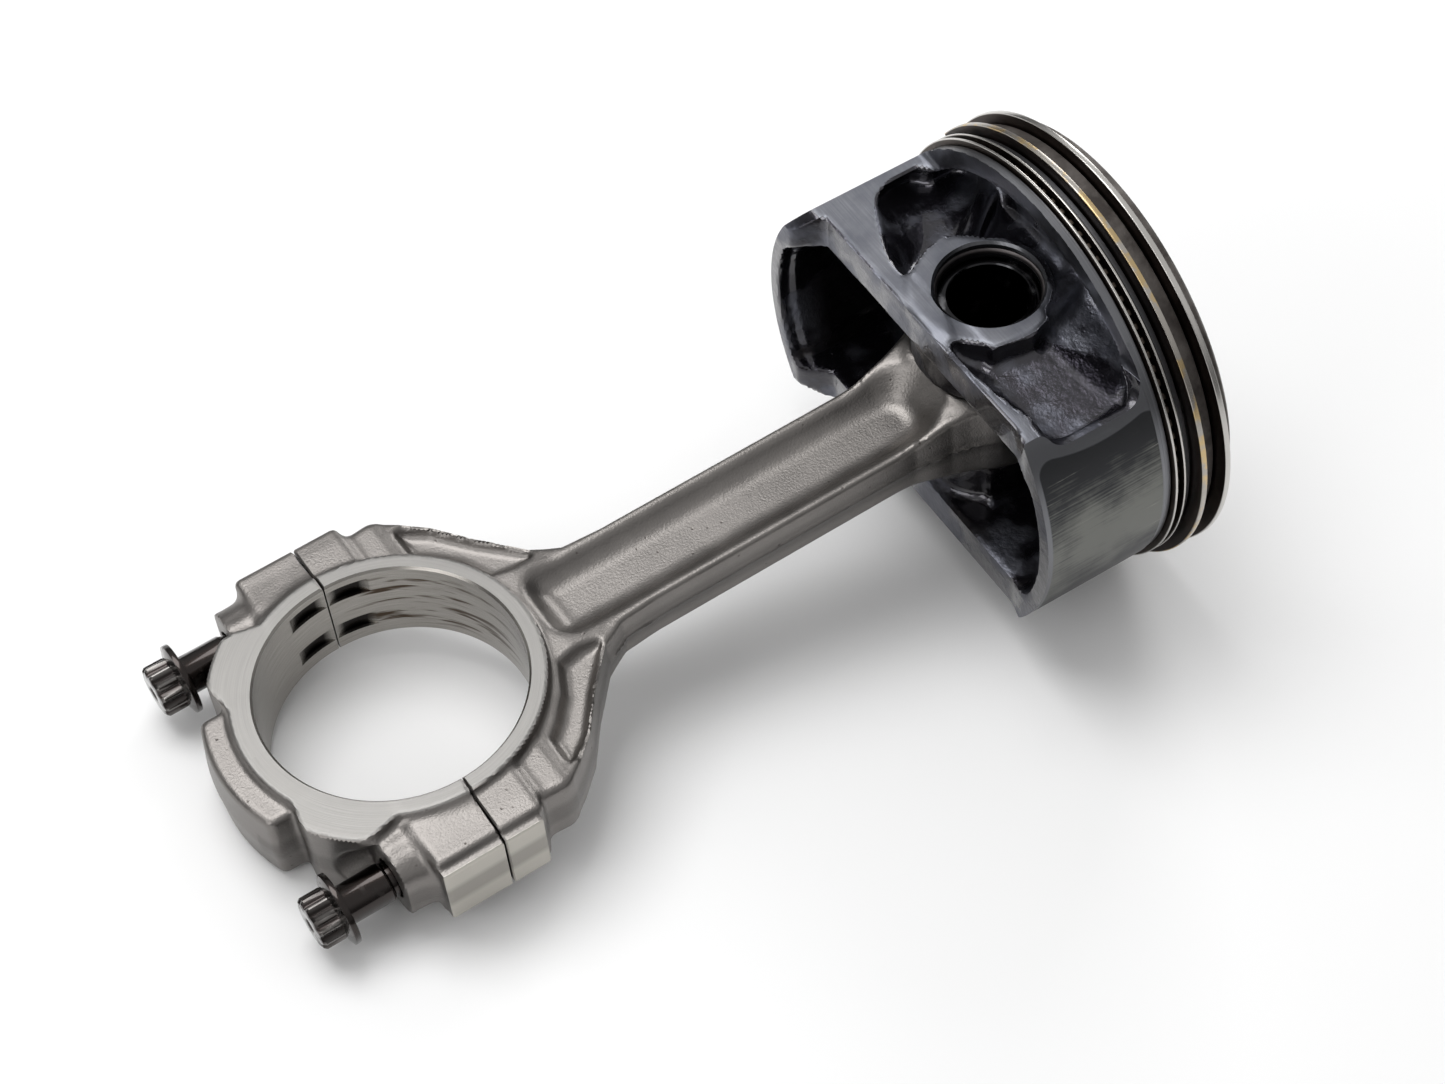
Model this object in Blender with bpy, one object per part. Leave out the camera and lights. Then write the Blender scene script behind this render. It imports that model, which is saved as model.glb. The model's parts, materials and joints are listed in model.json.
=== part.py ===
"""Engine piston with its rings, wrist pin and connecting rod, taken out of the engine.

The rod lies along +X with its big end at low X, and the piston lies on its side at high X.
Everything is modelled in the rod's own frame: origin at the centre of the big-end bore, X
towards the wrist pin, Z along the wrist pin. Two empties carry it: one lays the assembly on
a flat surface, and one swings the piston about the wrist pin.
"""
import math

import bmesh
import bpy
import numpy as np
from mathutils import Matrix, Vector

MM = 0.001

# ---- fits between neighbouring pieces ------------------------------------------------
GAP = 0.3 * MM                      # clearance kept between pieces that touch or slide
PAST = 5.0 * MM                     # how far a cutter runs on past the metal it cuts
BEYOND = 60.0 * MM                  # half size of a cutter that takes all there is on one side

# ---- connecting rod ------------------------------------------------------------------
ROD_CENTRES = 138.4 * MM            # big-end bore centre to wrist-pin centre
BIG_BORE_R = 26.0 * MM
BIG_WIDTH = 20.2 * MM               # over the machined thrust faces
THRUST_RING_WALL = 3.6 * MM         # radial width of the thrust face round the bore
BOLT_OFFSET = BIG_BORE_R + 5.0 * MM # rod centre line to a bolt's axis
EAR_REACH = BOLT_OFFSET + 8.3 * MM  # rod centre line to the outside of a bolt ear
EAR_THICK = 17.2 * MM               # across the bolt ears
EAR_ROD_LENGTH = 8.4 * MM           # joint face to the end of an ear, on the rod
SHOULDER_REACH = EAR_REACH - 2.1 * MM
SHOULDER_LENGTH = 18.0 * MM         # joint face to where the shoulder turns in
SHOULDER_THICK = 14.0 * MM
BEAM_HALF = 10.8 * MM               # half the width of the I-beam across its flanges
BEAM_THICK = 11.2 * MM              # along the wrist pin
NECK_START = BIG_BORE_R + 18.0 * MM # big-end centre to the start of the straight beam
CHANNEL_HALF_TOP = 8.6 * MM         # channel between the flanges, at the flange tops
CHANNEL_HALF_FLOOR = 5.4 * MM
WEB_THICK = 4.8 * MM
CHANNEL_RING_GAP = 3.0 * MM         # metal left between thrust ring and channel
CHANNEL_EYE_GAP = 0.2 * MM          # metal left between small-end eye and channel
EYE_WALL = 4.2 * MM                 # small-end eye, round the bush
EYE_WIDTH = 19.2 * MM
POCKET_DEPTH = 1.6 * MM             # lightening pocket between thrust ring and shoulder

# ---- bearing cap ---------------------------------------------------------------------
CAP_RING_WALL = 4.8 * MM            # radial width of the machined face on the cap
CAP_RIB_HALF = 14.5 * MM            # half the width of the stiffening rib
CAP_RIB_WALL = 11.0 * MM            # bore to the outside of the rib
CAP_RIB_THICK = 17.6 * MM
CAP_EAR_LENGTH = 13.2 * MM          # joint face to the step in the cap's ear
BOLT_SEAT = 19.4 * MM               # joint face to the bolt-head seat
PAD_PROUD = 1.7 * MM                # machined side pad above the ear
PAD_LENGTH_ROD = 8.2 * MM
PAD_LENGTH_CAP = 13.0 * MM
PAD_HEIGHT = 14.6 * MM

# ---- bearing-shell tang notches ------------------------------------------------------
NOTCH_ROWS = (6.2 * MM, -4.7 * MM)  # heights of the two rows across the bore
NOTCH_WIDTH = 4.0 * MM
NOTCH_CUTTER_R = 7.0 * MM
NOTCH_DEPTH = 1.1 * MM
NOTCH_ANGLE = math.radians(10.0)    # from the joint plane to the middle of a notch

# ---- rod bolts -----------------------------------------------------------------------
BOLT_R = 3.9 * MM
BOLT_HOLE_END = 15.0 * MM           # bottom of the threaded hole, from the joint face
BOLT_FLANGE_R = 7.25 * MM
BOLT_FLANGE_THICK = 1.7 * MM
BOLT_HEAD_R = 5.2 * MM              # over the twelve points
BOLT_HEAD_ROOT_R = 4.5 * MM         # between the points
BOLT_HEAD_HEIGHT = 5.0 * MM
BOLT_UNSCREWED = 10.0 * MM          # how far each bolt stands out at rest
BOLT_TIP_CLEARANCE = 0.6 * MM

# ---- wrist pin, bush and circlips ----------------------------------------------------
PIN_R = 10.5 * MM
PIN_BORE_R = PIN_R - 4.0 * MM
PIN_MOUTH_R = PIN_R - 2.2 * MM      # the bore opens in a cone to this at each end
PIN_CONE_LENGTH = 12.0 * MM
PIN_HALF_LENGTH = 24.7 * MM
BUSH_WALL = 1.1 * MM
EYE_R = PIN_R + BUSH_WALL + 2.0 * GAP + EYE_WALL
CLIP_WIRE_R = 0.75 * MM
CLIP_OUT = 0.95 * MM                # circlip wire's outside beyond the pin bore
CLIP_GAP = math.radians(38.0)

# ---- piston, from the pin axis along the piston's own axis ---------------------------
SKIRT_R = 46.0 * MM
LAND_R = SKIRT_R - 0.3 * MM
TOP_LAND_R = SKIRT_R - 0.7 * MM
CROWN_THICK = 6.0 * MM
CROWN_GAP = 4.1 * MM                # between the small-end eye and the crown's underside
CROWN_HEIGHT = EYE_R + CROWN_GAP + CROWN_THICK    # pin axis to the flat crown
CROWN_CHAMFER = 0.5 * MM
TOP_LAND = 3.4 * MM                 # crown to the top ring
SECOND_LAND = 4.4 * MM              # between the two compression rings
OIL_RING_DOWN = 4.6 * MM            # from one ring's underside to the other's
RING_HEIGHT = 1.2 * MM
TOP_RING_LOW = CROWN_HEIGHT - TOP_LAND - RING_HEIGHT
SECOND_RING_LOW = TOP_RING_LOW - SECOND_LAND - RING_HEIGHT
OIL_RING_LOW = SECOND_RING_LOW - OIL_RING_DOWN
BELT_LOW = OIL_RING_LOW - 2.3 * MM  # lower edge of the ring belt
GROOVE_DEPTH = 4.1 * MM
SKIRT_LEFT_LOW = -22.6 * MM         # bottom of the long skirt, on +Y
SKIRT_RIGHT_LOW = -18.0 * MM        # bottom of the short skirt, on -Y
SKIRT_WALL = 3.3 * MM
WALL_LOW = -16.8 * MM               # bottom of the two box walls
WALL_TRIM_HALF = 36.0 * MM          # centre line to where a wall's bottom meets a skirt
WALL_TRIM_IN = 3.0 * MM
BOSS_FACE = PIN_HALF_LENGTH + 3.4 * MM  # piston centre plane to a boss's outer face
WALL_IN = 19.8 * MM                 # centre plane to the inside of a box wall
POCKET_FLOOR = BOSS_FACE - 4.5 * MM # centre plane to the floor of the side pockets
POCKET_LOW = -12.3 * MM
POCKET_ROOF = CROWN_HEIGHT - 9.0 * MM
BELT_BACK_R = LAND_R - GROOVE_DEPTH - 1.0 * MM  # back of the ring belt, in the pockets
BOSS_R = PIN_R + 4.8 * MM
BOSS_SIDE_GAP = 0.9 * MM            # between the small-end eye and a boss
BOSS_WEB_HALF = 12.0 * MM
BOSS_CHAMFER = 0.5 * MM
CLIP_GROOVE_WIDTH = 2.1 * MM
STRUT_WIDTH = 5.0 * MM
STRUT_RISE = 3.0 * MM
STRUT_ANGLES = (math.radians(38.0), math.radians(-26.0))
VALVE_POCKET_R = (16.5 * MM, 14.0 * MM)
VALVE_POCKET_OFFSET = 19.5 * MM
VALVE_POCKET_DEPTH = 1.6 * MM
VALVE_TILT = math.radians(4.0)

# ---- piston rings --------------------------------------------------------------------
RING_R = SKIRT_R + 2.2 * MM         # outside radius when sprung open, out of the bore
RING_WALL = 3.9 * MM
RING_SHIFT = (-1.1 * MM, 0.6 * MM)  # how far a loose ring sits off the piston's axis
RING_OPENING = math.radians(11.0)
TOP_RING_GAP_AT = math.radians(-35.0)
SECOND_RING_GAP_AT = math.radians(28.0)
RAIL_HEIGHT = 0.5 * MM
RAIL_R = SKIRT_R + 1.0 * MM
RAIL_WALL = 2.6 * MM
RAIL_OPENING = math.radians(3.0)
LOWER_RAIL_GAP_AT = math.radians(-70.0)
EXPANDER_GAP_AT = math.radians(70.0)
UPPER_RAIL_GAP_AT = math.radians(10.0)
EXPANDER_HEIGHT = 0.9 * MM
EXPANDER_R = SKIRT_R - 0.2 * MM
EXPANDER_WALL = 2.6 * MM

# ---- how it lies ---------------------------------------------------------------------
REST_SWING = math.radians(-1.5)     # piston about the wrist pin

ROUND_STEPS = 72
SMALL_STEPS = 36
SMOOTH_ANGLE = math.radians(30.0)


# ======================================================================================
# Modelling helpers
# ======================================================================================
def clear_scene():
    """Remove every object, mesh and material that the start-up file brought."""
    for item in list(bpy.data.objects):
        bpy.data.objects.remove(item, do_unlink=True)
    for block in (bpy.data.meshes, bpy.data.materials):
        for item in list(block):
            block.remove(item)


def material(name, colour, roughness, metallic):
    """A plain Principled BSDF finish."""
    finish = bpy.data.materials.new(name)
    finish.use_nodes = True
    shader = finish.node_tree.nodes["Principled BSDF"]
    shader.inputs["Base Color"].default_value = (*colour, 1.0)
    shader.inputs["Roughness"].default_value = roughness
    shader.inputs["Metallic"].default_value = metallic
    finish.diffuse_color = (*colour, 1.0)
    return finish


def empty(name, parent=None, location=(0.0, 0.0, 0.0), turn=(0.0, 0.0, 0.0)):
    """An empty that carries a group of pieces."""
    holder = bpy.data.objects.new(name, None)
    bpy.context.scene.collection.objects.link(holder)
    holder.parent = parent
    holder.location = location
    holder.rotation_euler = turn
    return holder


def add_object(name, shape, parent, finish=None, location=(0.0, 0.0, 0.0)):
    """Turn a bmesh into an object; without a finish it is a hidden cutter."""
    bmesh.ops.remove_doubles(shape, verts=shape.verts, dist=1e-7)
    bmesh.ops.recalc_face_normals(shape, faces=shape.faces)
    mesh = bpy.data.meshes.new(name)
    shape.to_mesh(mesh)
    shape.free()
    thing = bpy.data.objects.new(name, mesh)
    bpy.context.scene.collection.objects.link(thing)
    thing.parent = parent
    thing.location = location
    if finish is None:
        thing.hide_render = True
        thing.display_type = "WIRE"
    else:
        mesh.materials.append(finish)
        mesh.shade_smooth()
        mesh.set_sharp_from_angle(angle=SMOOTH_ANGLE)
    return thing


def combine(target, other, operation):
    """Add one Boolean step to a piece."""
    step = target.modifiers.new(f"{operation.lower()}_{other.name}", "BOOLEAN")
    step.operation = operation
    step.solver = "EXACT"
    step.object = other


def loft(sections, along="Z"):
    """Skin between outlines of equal point count; each section is (outline, height).

    Along Z an outline holds (x, y) pairs; along X it holds (y, z) pairs.
    """
    shape = bmesh.new()
    rings = []
    for outline, height in sections:
        if along == "Z":
            ring = [shape.verts.new((a, b, height)) for a, b in outline]
        else:
            ring = [shape.verts.new((height, a, b)) for a, b in outline]
        rings.append(ring)
    for lower, upper in zip(rings, rings[1:]):
        count = len(lower)
        for i in range(count):
            j = (i + 1) % count
            shape.faces.new((lower[i], lower[j], upper[j], upper[i]))
    shape.faces.new(rings[0])
    shape.faces.new(rings[-1])
    return shape


def prism(outline, low, high, along="Z"):
    """An outline extruded between two heights."""
    return loft(((outline, low), (outline, high)), along)


def block(low, high):
    """A rectangular block between two corners."""
    outline = ((low[0], low[1]), (high[0], low[1]), (high[0], high[1]), (low[0], high[1]))
    return prism(outline, low[2], high[2])


def arc(centre, radius, start, end, count):
    """Points along an arc, both ends included, angles in radians."""
    return [(centre[0] + radius * math.cos(angle), centre[1] + radius * math.sin(angle))
            for angle in np.linspace(start, end, count)]


def circle(centre, radius, count):
    """Points round a full circle."""
    return arc(centre, radius, 0.0, math.tau, count + 1)[:-1]


def disc(centre, radius, low, high, count=SMALL_STEPS, along="Z"):
    """A solid cylinder along Z or X."""
    return prism(circle(centre, radius, count), low, high, along)


def rounded_box(x_low, x_high, y_half, radius, corner_steps=4):
    """A rectangle with rounded corners, symmetric about the rod's centre line."""
    corners = ((x_high - radius, y_half - radius, 0.0),
               (x_low + radius, y_half - radius, 0.5 * math.pi),
               (x_low + radius, radius - y_half, math.pi),
               (x_high - radius, radius - y_half, 1.5 * math.pi))
    points = []
    for x, y, start in corners:
        points += arc((x, y), radius, start, start + 0.5 * math.pi, corner_steps + 1)
    return points


def turned(profile, axis, steps=ROUND_STEPS, opening=0.0, gap_at=0.0):
    """Spin a closed (height, radius) profile about X or Z, leaving an opening if asked."""
    shape = bmesh.new()
    if axis == "X":
        points = [Vector((height, radius, 0.0)) for height, radius in profile]
        direction = Vector((1.0, 0.0, 0.0))
    else:
        points = [Vector((radius, 0.0, height)) for height, radius in profile]
        direction = Vector((0.0, 0.0, 1.0))
    start = Matrix.Rotation(gap_at + 0.5 * opening, 3, direction)
    verts = [shape.verts.new(start @ point) for point in points]
    section = shape.faces.new(verts)
    moved = [section]
    if opening == 0.0:
        moved = list(section.edges)
        shape.faces.remove(section)
    bmesh.ops.spin(shape, geom=moved, cent=(0.0, 0.0, 0.0), axis=direction,
                   angle=math.tau - opening, steps=steps, use_merge=opening == 0.0)
    bmesh.ops.dissolve_degenerate(shape, dist=1e-8, edges=shape.edges)
    return shape


def upper_and_lower(points):
    """Close an outline whose upper half runs from high X to low X, mirrored in Y."""
    lower = [(x, -y) for x, y in reversed(points) if y > 1e-9]
    return list(points) + lower


# ======================================================================================
# Big end, shared by rod and cap
# ======================================================================================
def big_end_cuts(target, parent, side, label):
    """Cut the bore, both bolt holes and the tang notches; side is +1 on the rod, -1 on the cap."""
    half = BIG_WIDTH
    bore = add_object(f"{label}_bore_cutter", disc((0.0, 0.0), BIG_BORE_R, -half, half,
                                                   ROUND_STEPS), parent)
    combine(target, bore, "DIFFERENCE")
    for across in (1, -1):
        if side > 0:
            low, high = -PAST, BOLT_HOLE_END
        else:
            low, high = -2.0 * BOLT_SEAT, PAST
        hole = add_object(f"{label}_bolt_cutter_{across}",
                          disc((across * BOLT_OFFSET, 0.0), BOLT_R + GAP, low, high,
                               along="X"), parent)
        combine(target, hole, "DIFFERENCE")
    reach = BIG_BORE_R + NOTCH_DEPTH - NOTCH_CUTTER_R
    angle = 0.5 * math.pi - side * NOTCH_ANGLE
    centre = (reach * math.cos(angle), reach * math.sin(angle))
    for row, height in enumerate(NOTCH_ROWS):
        notch = add_object(f"{label}_notch_cutter_{row}",
                           disc(centre, NOTCH_CUTTER_R, height - 0.5 * NOTCH_WIDTH,
                                height + 0.5 * NOTCH_WIDTH, ROUND_STEPS), parent)
        combine(target, notch, "DIFFERENCE")


def side_pad(label, x_low, x_high, parent):
    """The machined pad that stands proud of the -Y bolt ears."""
    pad = block((x_low, -EAR_REACH - PAD_PROUD, -0.5 * PAD_HEIGHT),
                (x_high, -EAR_REACH + PAD_PROUD, 0.5 * PAD_HEIGHT))
    return add_object(f"{label}_pad_shape", pad, parent)


# ======================================================================================
# Connecting rod
# ======================================================================================
def rod_outline():
    """Forged outline of the rod from the joint to the small end, upper half first.

    Each point is a distance along the rod and a half width: the small-end flare, the beam,
    the neck that swells into the shoulder, and the step down beside the bolt ear.
    """
    neck = BEAM_HALF + 0.6 * MM
    flare = ROD_CENTRES - EYE_R
    upper = [(ROD_CENTRES, 0.0),
             (ROD_CENTRES, 15.6 * MM),
             (flare + 9.0 * MM, 15.0 * MM),
             (flare + 5.0 * MM, 13.6 * MM),
             (flare - 1.0 * MM, 11.9 * MM),
             (flare - 9.0 * MM, BEAM_HALF),
             (NECK_START + 8.0 * MM, BEAM_HALF),
             (NECK_START, neck),
             (NECK_START - 5.5 * MM, neck + 3.0 * MM),
             (NECK_START - 12.5 * MM, neck + 10.6 * MM),
             (SHOULDER_LENGTH + 7.6 * MM, SHOULDER_REACH - 7.6 * MM),
             (SHOULDER_LENGTH + 2.8 * MM, SHOULDER_REACH - 3.2 * MM),
             (SHOULDER_LENGTH - 0.5 * MM, SHOULDER_REACH - 0.6 * MM),
             (SHOULDER_LENGTH - 3.4 * MM, SHOULDER_REACH),
             (EAR_ROD_LENGTH + 1.8 * MM, SHOULDER_REACH - 0.8 * MM),
             (0.5 * GAP, SHOULDER_REACH - 0.8 * MM)]
    return upper_and_lower(upper)


def channel_cutter(parent, side):
    """The channel between the I-beam's flanges, drafted and rounded, on one face."""
    low = BIG_BORE_R + THRUST_RING_WALL + CHANNEL_RING_GAP
    high = ROD_CENTRES - EYE_R - CHANNEL_EYE_GAP
    floor = 0.5 * WEB_THICK
    top = 0.5 * BEAM_THICK
    draft = CHANNEL_HALF_TOP - CHANNEL_HALF_FLOOR
    levels = ((floor, 1.0), (floor + 0.35 * (top - floor), 0.45), (top, 0.0), (top + PAST, -0.6))
    sections = []
    for height, inset in levels:
        shrink = inset * draft
        sections.append((rounded_box(low + shrink, high - shrink, CHANNEL_HALF_TOP - shrink,
                                     CHANNEL_HALF_TOP - shrink - 1.6 * MM), side * height))
    return add_object(f"channel_cutter_{side}", loft(sections), parent)


def shoulder_pocket(parent, face, across):
    """Shallow lightening pocket between the thrust ring and the shoulder's rim."""
    inner = BIG_BORE_R + THRUST_RING_WALL + 1.6 * MM
    rim = 2.4 * MM
    points = arc((0.0, 0.0), inner, math.radians(56.0), math.radians(24.0), 7)
    points += [(NECK_START - 5.5 * MM, BEAM_HALF + 1.9 * MM),
               (NECK_START - 13.5 * MM - rim, BEAM_HALF + 10.0 * MM),
               (SHOULDER_LENGTH + 6.4 * MM - rim, SHOULDER_REACH - 7.6 * MM)]
    outline = [(x, across * y) for x, y in points]
    top = 0.5 * SHOULDER_THICK
    pocket = prism(outline, face * (0.5 * BEAM_THICK - POCKET_DEPTH), face * (top + PAST))
    return add_object(f"shoulder_pocket_{face}_{across}", pocket, parent)


def make_rod(parent, finish):
    """Forged steel rod: big-end half, ears, I-beam and small-end eye in one piece."""
    beam = 0.5 * BEAM_THICK
    rod = add_object("connecting_rod", prism(rod_outline(), -beam, beam), parent, finish)
    joint = 0.5 * GAP
    ring = BIG_BORE_R + THRUST_RING_WALL
    shapes = []
    half_ring = arc((0.0, 0.0), ring, -0.5 * math.pi, 0.5 * math.pi, ROUND_STEPS // 2 + 1)
    half_ring = [(max(x, joint), y) for x, y in half_ring]
    shapes.append(add_object("rod_ring_shape",
                             prism(half_ring, -0.5 * BIG_WIDTH, 0.5 * BIG_WIDTH), parent))
    for across in (1, -1):
        inner, outer = sorted((across * (BIG_BORE_R - 4.0 * MM), across * EAR_REACH))
        ear = block((joint, inner, -0.5 * EAR_THICK), (EAR_ROD_LENGTH, outer, 0.5 * EAR_THICK))
        shapes.append(add_object(f"rod_ear_shape_{across}", ear, parent))
        inner, outer = sorted((across * (BIG_BORE_R - 6.0 * MM), across * (SHOULDER_REACH - 0.4 * MM)))
        shoulder = block((joint, inner, -0.5 * SHOULDER_THICK),
                         (SHOULDER_LENGTH - 1.0 * MM, outer, 0.5 * SHOULDER_THICK))
        shapes.append(add_object(f"rod_shoulder_shape_{across}", shoulder, parent))
    shapes.append(side_pad("rod", joint, PAD_LENGTH_ROD, parent))
    eye = disc((ROD_CENTRES, 0.0), EYE_R, -0.5 * EYE_WIDTH, 0.5 * EYE_WIDTH, ROUND_STEPS)
    shapes.append(add_object("rod_eye_shape", eye, parent))
    for shape in shapes:
        combine(rod, shape, "UNION")
    for face in (1, -1):
        combine(rod, channel_cutter(parent, face), "DIFFERENCE")
        for across in (1, -1):
            combine(rod, shoulder_pocket(parent, face, across), "DIFFERENCE")
    big_end_cuts(rod, parent, 1, "rod")
    bush_hole = disc((ROD_CENTRES, 0.0), PIN_R + GAP + BUSH_WALL + GAP, -EYE_WIDTH, EYE_WIDTH,
                     ROUND_STEPS)
    combine(rod, add_object("bush_hole_cutter", bush_hole, parent), "DIFFERENCE")
    return rod


def make_cap(parent, finish):
    """Bearing cap: machined ring, stiffening rib and two bolt ears."""
    joint = -0.5 * GAP
    ring = BIG_BORE_R + CAP_RING_WALL
    lobe = ring + 4.2 * MM
    face = [(joint, BIG_BORE_R + THRUST_RING_WALL)]
    face += [(-13.0 * MM, BIG_BORE_R + 0.6 * MM), (-16.5 * MM, BIG_BORE_R + 1.4 * MM)]
    face += arc((0.0, 0.0), lobe, math.radians(128.0), math.radians(144.0), 5)
    face += arc((0.0, 0.0), ring, math.radians(156.0), math.radians(180.0), 7)[:-1]
    face += [(-ring, 0.0)]
    outline = face + [(x, -y) for x, y in reversed(face[:-1])]
    cap = add_object("rod_cap", prism(outline, -0.5 * BIG_WIDTH, 0.5 * BIG_WIDTH), parent, finish)
    outside = BIG_BORE_R + CAP_RIB_WALL
    edge = math.asin(CAP_RIB_HALF / outside)
    rib = arc((0.0, 0.0), outside, math.pi - edge, math.pi + edge, 13)
    rib += [(-0.5 * BIG_BORE_R, -CAP_RIB_HALF), (-0.5 * BIG_BORE_R, CAP_RIB_HALF)]
    shapes = [add_object("cap_rib_shape",
                         prism(rib, -0.5 * CAP_RIB_THICK, 0.5 * CAP_RIB_THICK), parent)]
    for across in (1, -1):
        inner, outer = sorted((across * (BIG_BORE_R - 6.0 * MM), across * EAR_REACH))
        ear = block((-CAP_EAR_LENGTH, inner, -0.5 * EAR_THICK), (joint, outer, 0.5 * EAR_THICK))
        shapes.append(add_object(f"cap_ear_shape_{across}", ear, parent))
        boss = BOLT_FLANGE_R + 0.6 * MM
        inner, outer = sorted((across * (CAP_RIB_HALF - 2.0 * MM), across * BOLT_OFFSET))
        column = block((-BOLT_SEAT, inner, -boss), (joint - 1.0 * MM, outer, boss))
        shapes.append(add_object(f"cap_column_shape_{across}", column, parent))
        round_boss = disc((across * BOLT_OFFSET, 0.0), boss, -BOLT_SEAT, joint - 1.0 * MM,
                          along="X")
        shapes.append(add_object(f"cap_boss_shape_{across}", round_boss, parent))
    shapes.append(side_pad("cap", -PAD_LENGTH_CAP, joint, parent))
    for shape in shapes:
        combine(cap, shape, "UNION")
    big_end_cuts(cap, parent, -1, "cap")
    for across in (1, -1):
        inner, outer = sorted((across * (BOLT_OFFSET - BOLT_FLANGE_R - 0.6 * MM),
                               across * (EAR_REACH + 6.0 * MM)))
        clearance = block((-2.0 * outside, inner, -BIG_WIDTH), (-BOLT_SEAT, outer, BIG_WIDTH))
        combine(cap, add_object(f"seat_cutter_{across}", clearance, parent), "DIFFERENCE")
    return cap


# ======================================================================================
# Rod bolts
# ======================================================================================
def star(outer, inner, points):
    """A twelve-point head's outline."""
    outline = []
    for i in range(2 * points):
        radius = outer if i % 2 == 0 else inner
        angle = i * math.pi / points
        outline.append((radius * math.cos(angle), radius * math.sin(angle)))
    return outline


def make_bolt(name, across, parent, finish):
    """Flanged twelve-point bolt; its origin is on its own axis at the seat face."""
    length = BOLT_SEAT + BOLT_HOLE_END - BOLT_TIP_CLEARANCE
    profile = [(0.0, 0.0), (0.0, BOLT_FLANGE_R - 0.3 * MM), (0.3 * MM, BOLT_FLANGE_R),
               (BOLT_FLANGE_THICK - 0.3 * MM, BOLT_FLANGE_R),
               (BOLT_FLANGE_THICK, BOLT_FLANGE_R - 0.3 * MM),
               (BOLT_FLANGE_THICK, BOLT_R), (BOLT_FLANGE_THICK + length - 0.8 * MM, BOLT_R),
               (BOLT_FLANGE_THICK + length, BOLT_R - 0.8 * MM),
               (BOLT_FLANGE_THICK + length, 0.0)]
    profile = [(x - BOLT_FLANGE_THICK - GAP, r) for x, r in profile]
    seat = (-BOLT_SEAT - BOLT_UNSCREWED, across * BOLT_OFFSET, 0.0)
    bolt = add_object(name, turned(profile, "X", SMALL_STEPS), parent, finish, seat)
    outline = star(BOLT_HEAD_R, BOLT_HEAD_ROOT_R, 12)
    top = -BOLT_FLANGE_THICK - GAP - BOLT_HEAD_HEIGHT
    head = prism(outline, top, -BOLT_FLANGE_THICK - GAP + 0.5 * MM, along="X")
    combine(bolt, add_object(f"{name}_head_shape", head, parent, None, seat), "UNION")
    return bolt


# ======================================================================================
# Wrist pin, bush and circlips
# ======================================================================================
def make_pin(parent, finish):
    """Hollow floating wrist pin, opened in a cone at both ends."""
    cone = PIN_HALF_LENGTH - PIN_CONE_LENGTH
    profile = [(-PIN_HALF_LENGTH, PIN_MOUTH_R), (-cone, PIN_BORE_R), (cone, PIN_BORE_R),
               (PIN_HALF_LENGTH, PIN_MOUTH_R), (PIN_HALF_LENGTH, PIN_R - 0.4 * MM),
               (PIN_HALF_LENGTH - 0.4 * MM, PIN_R), (0.4 * MM - PIN_HALF_LENGTH, PIN_R),
               (-PIN_HALF_LENGTH, PIN_R - 0.4 * MM)]
    return add_object("wrist_pin", turned(profile, "Z", 48), parent, finish)


def make_bush(parent, finish):
    """Bronze bush pressed into the small-end eye."""
    half = 0.5 * EYE_WIDTH
    inner = PIN_R + GAP
    outer = inner + BUSH_WALL
    profile = [(-half, inner), (half, inner), (half, outer), (-half, outer)]
    return add_object("small_end_bush", turned(profile, "Z", 48), parent, finish,
                      (ROD_CENTRES, 0.0, 0.0))


def clip_height():
    """Height of a circlip's wire centre above the piston's centre plane."""
    return PIN_HALF_LENGTH + GAP + CLIP_WIRE_R


def make_circlip(name, face, parent, finish):
    """Open wire ring that snaps into the pin bore outside the pin."""
    middle = PIN_R + GAP + CLIP_OUT - CLIP_WIRE_R
    profile = [(CLIP_WIRE_R * math.sin(a), middle + CLIP_WIRE_R * math.cos(a))
               for a in np.linspace(0.0, math.tau, 9)[:-1]]
    clip = turned(profile, "Z", SMALL_STEPS, CLIP_GAP, math.pi)
    return add_object(name, clip, parent, finish, (0.0, 0.0, face * clip_height()))


# ======================================================================================
# Piston
# ======================================================================================
def grooves():
    """Low edge and high edge of each ring groove."""
    oil_top = OIL_RING_LOW + 2.0 * RAIL_HEIGHT + EXPANDER_HEIGHT + 2.0 * GAP
    return ((OIL_RING_LOW - GAP, oil_top + GAP),
            (SECOND_RING_LOW - GAP, SECOND_RING_LOW + RING_HEIGHT + GAP),
            (TOP_RING_LOW - GAP, TOP_RING_LOW + RING_HEIGHT + GAP))


def piston_blank():
    """Turned outside of the piston with its three grooves, still solid inside."""
    root = LAND_R - GROOVE_DEPTH
    low, oil, second, top = SKIRT_LEFT_LOW, *grooves()
    profile = [(low, 0.0), (low, SKIRT_R), (BELT_LOW, SKIRT_R), (BELT_LOW, LAND_R)]
    for groove_low, groove_high in (oil, second, top):
        land = TOP_LAND_R if groove_low == top[0] else LAND_R
        profile += [(groove_low, LAND_R), (groove_low, root), (groove_high, root),
                    (groove_high, land)]
    profile += [(CROWN_HEIGHT - CROWN_CHAMFER, TOP_LAND_R),
                (CROWN_HEIGHT, TOP_LAND_R - CROWN_CHAMFER), (CROWN_HEIGHT, 0.0)]
    return turned(profile, "X")


def circle_segment(radius, floor):
    """Outline in the (y, z) plane between a flat floor and the arc above it."""
    start = math.asin(floor / radius)
    return arc((0.0, 0.0), radius, start, math.pi - start, 21)


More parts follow.
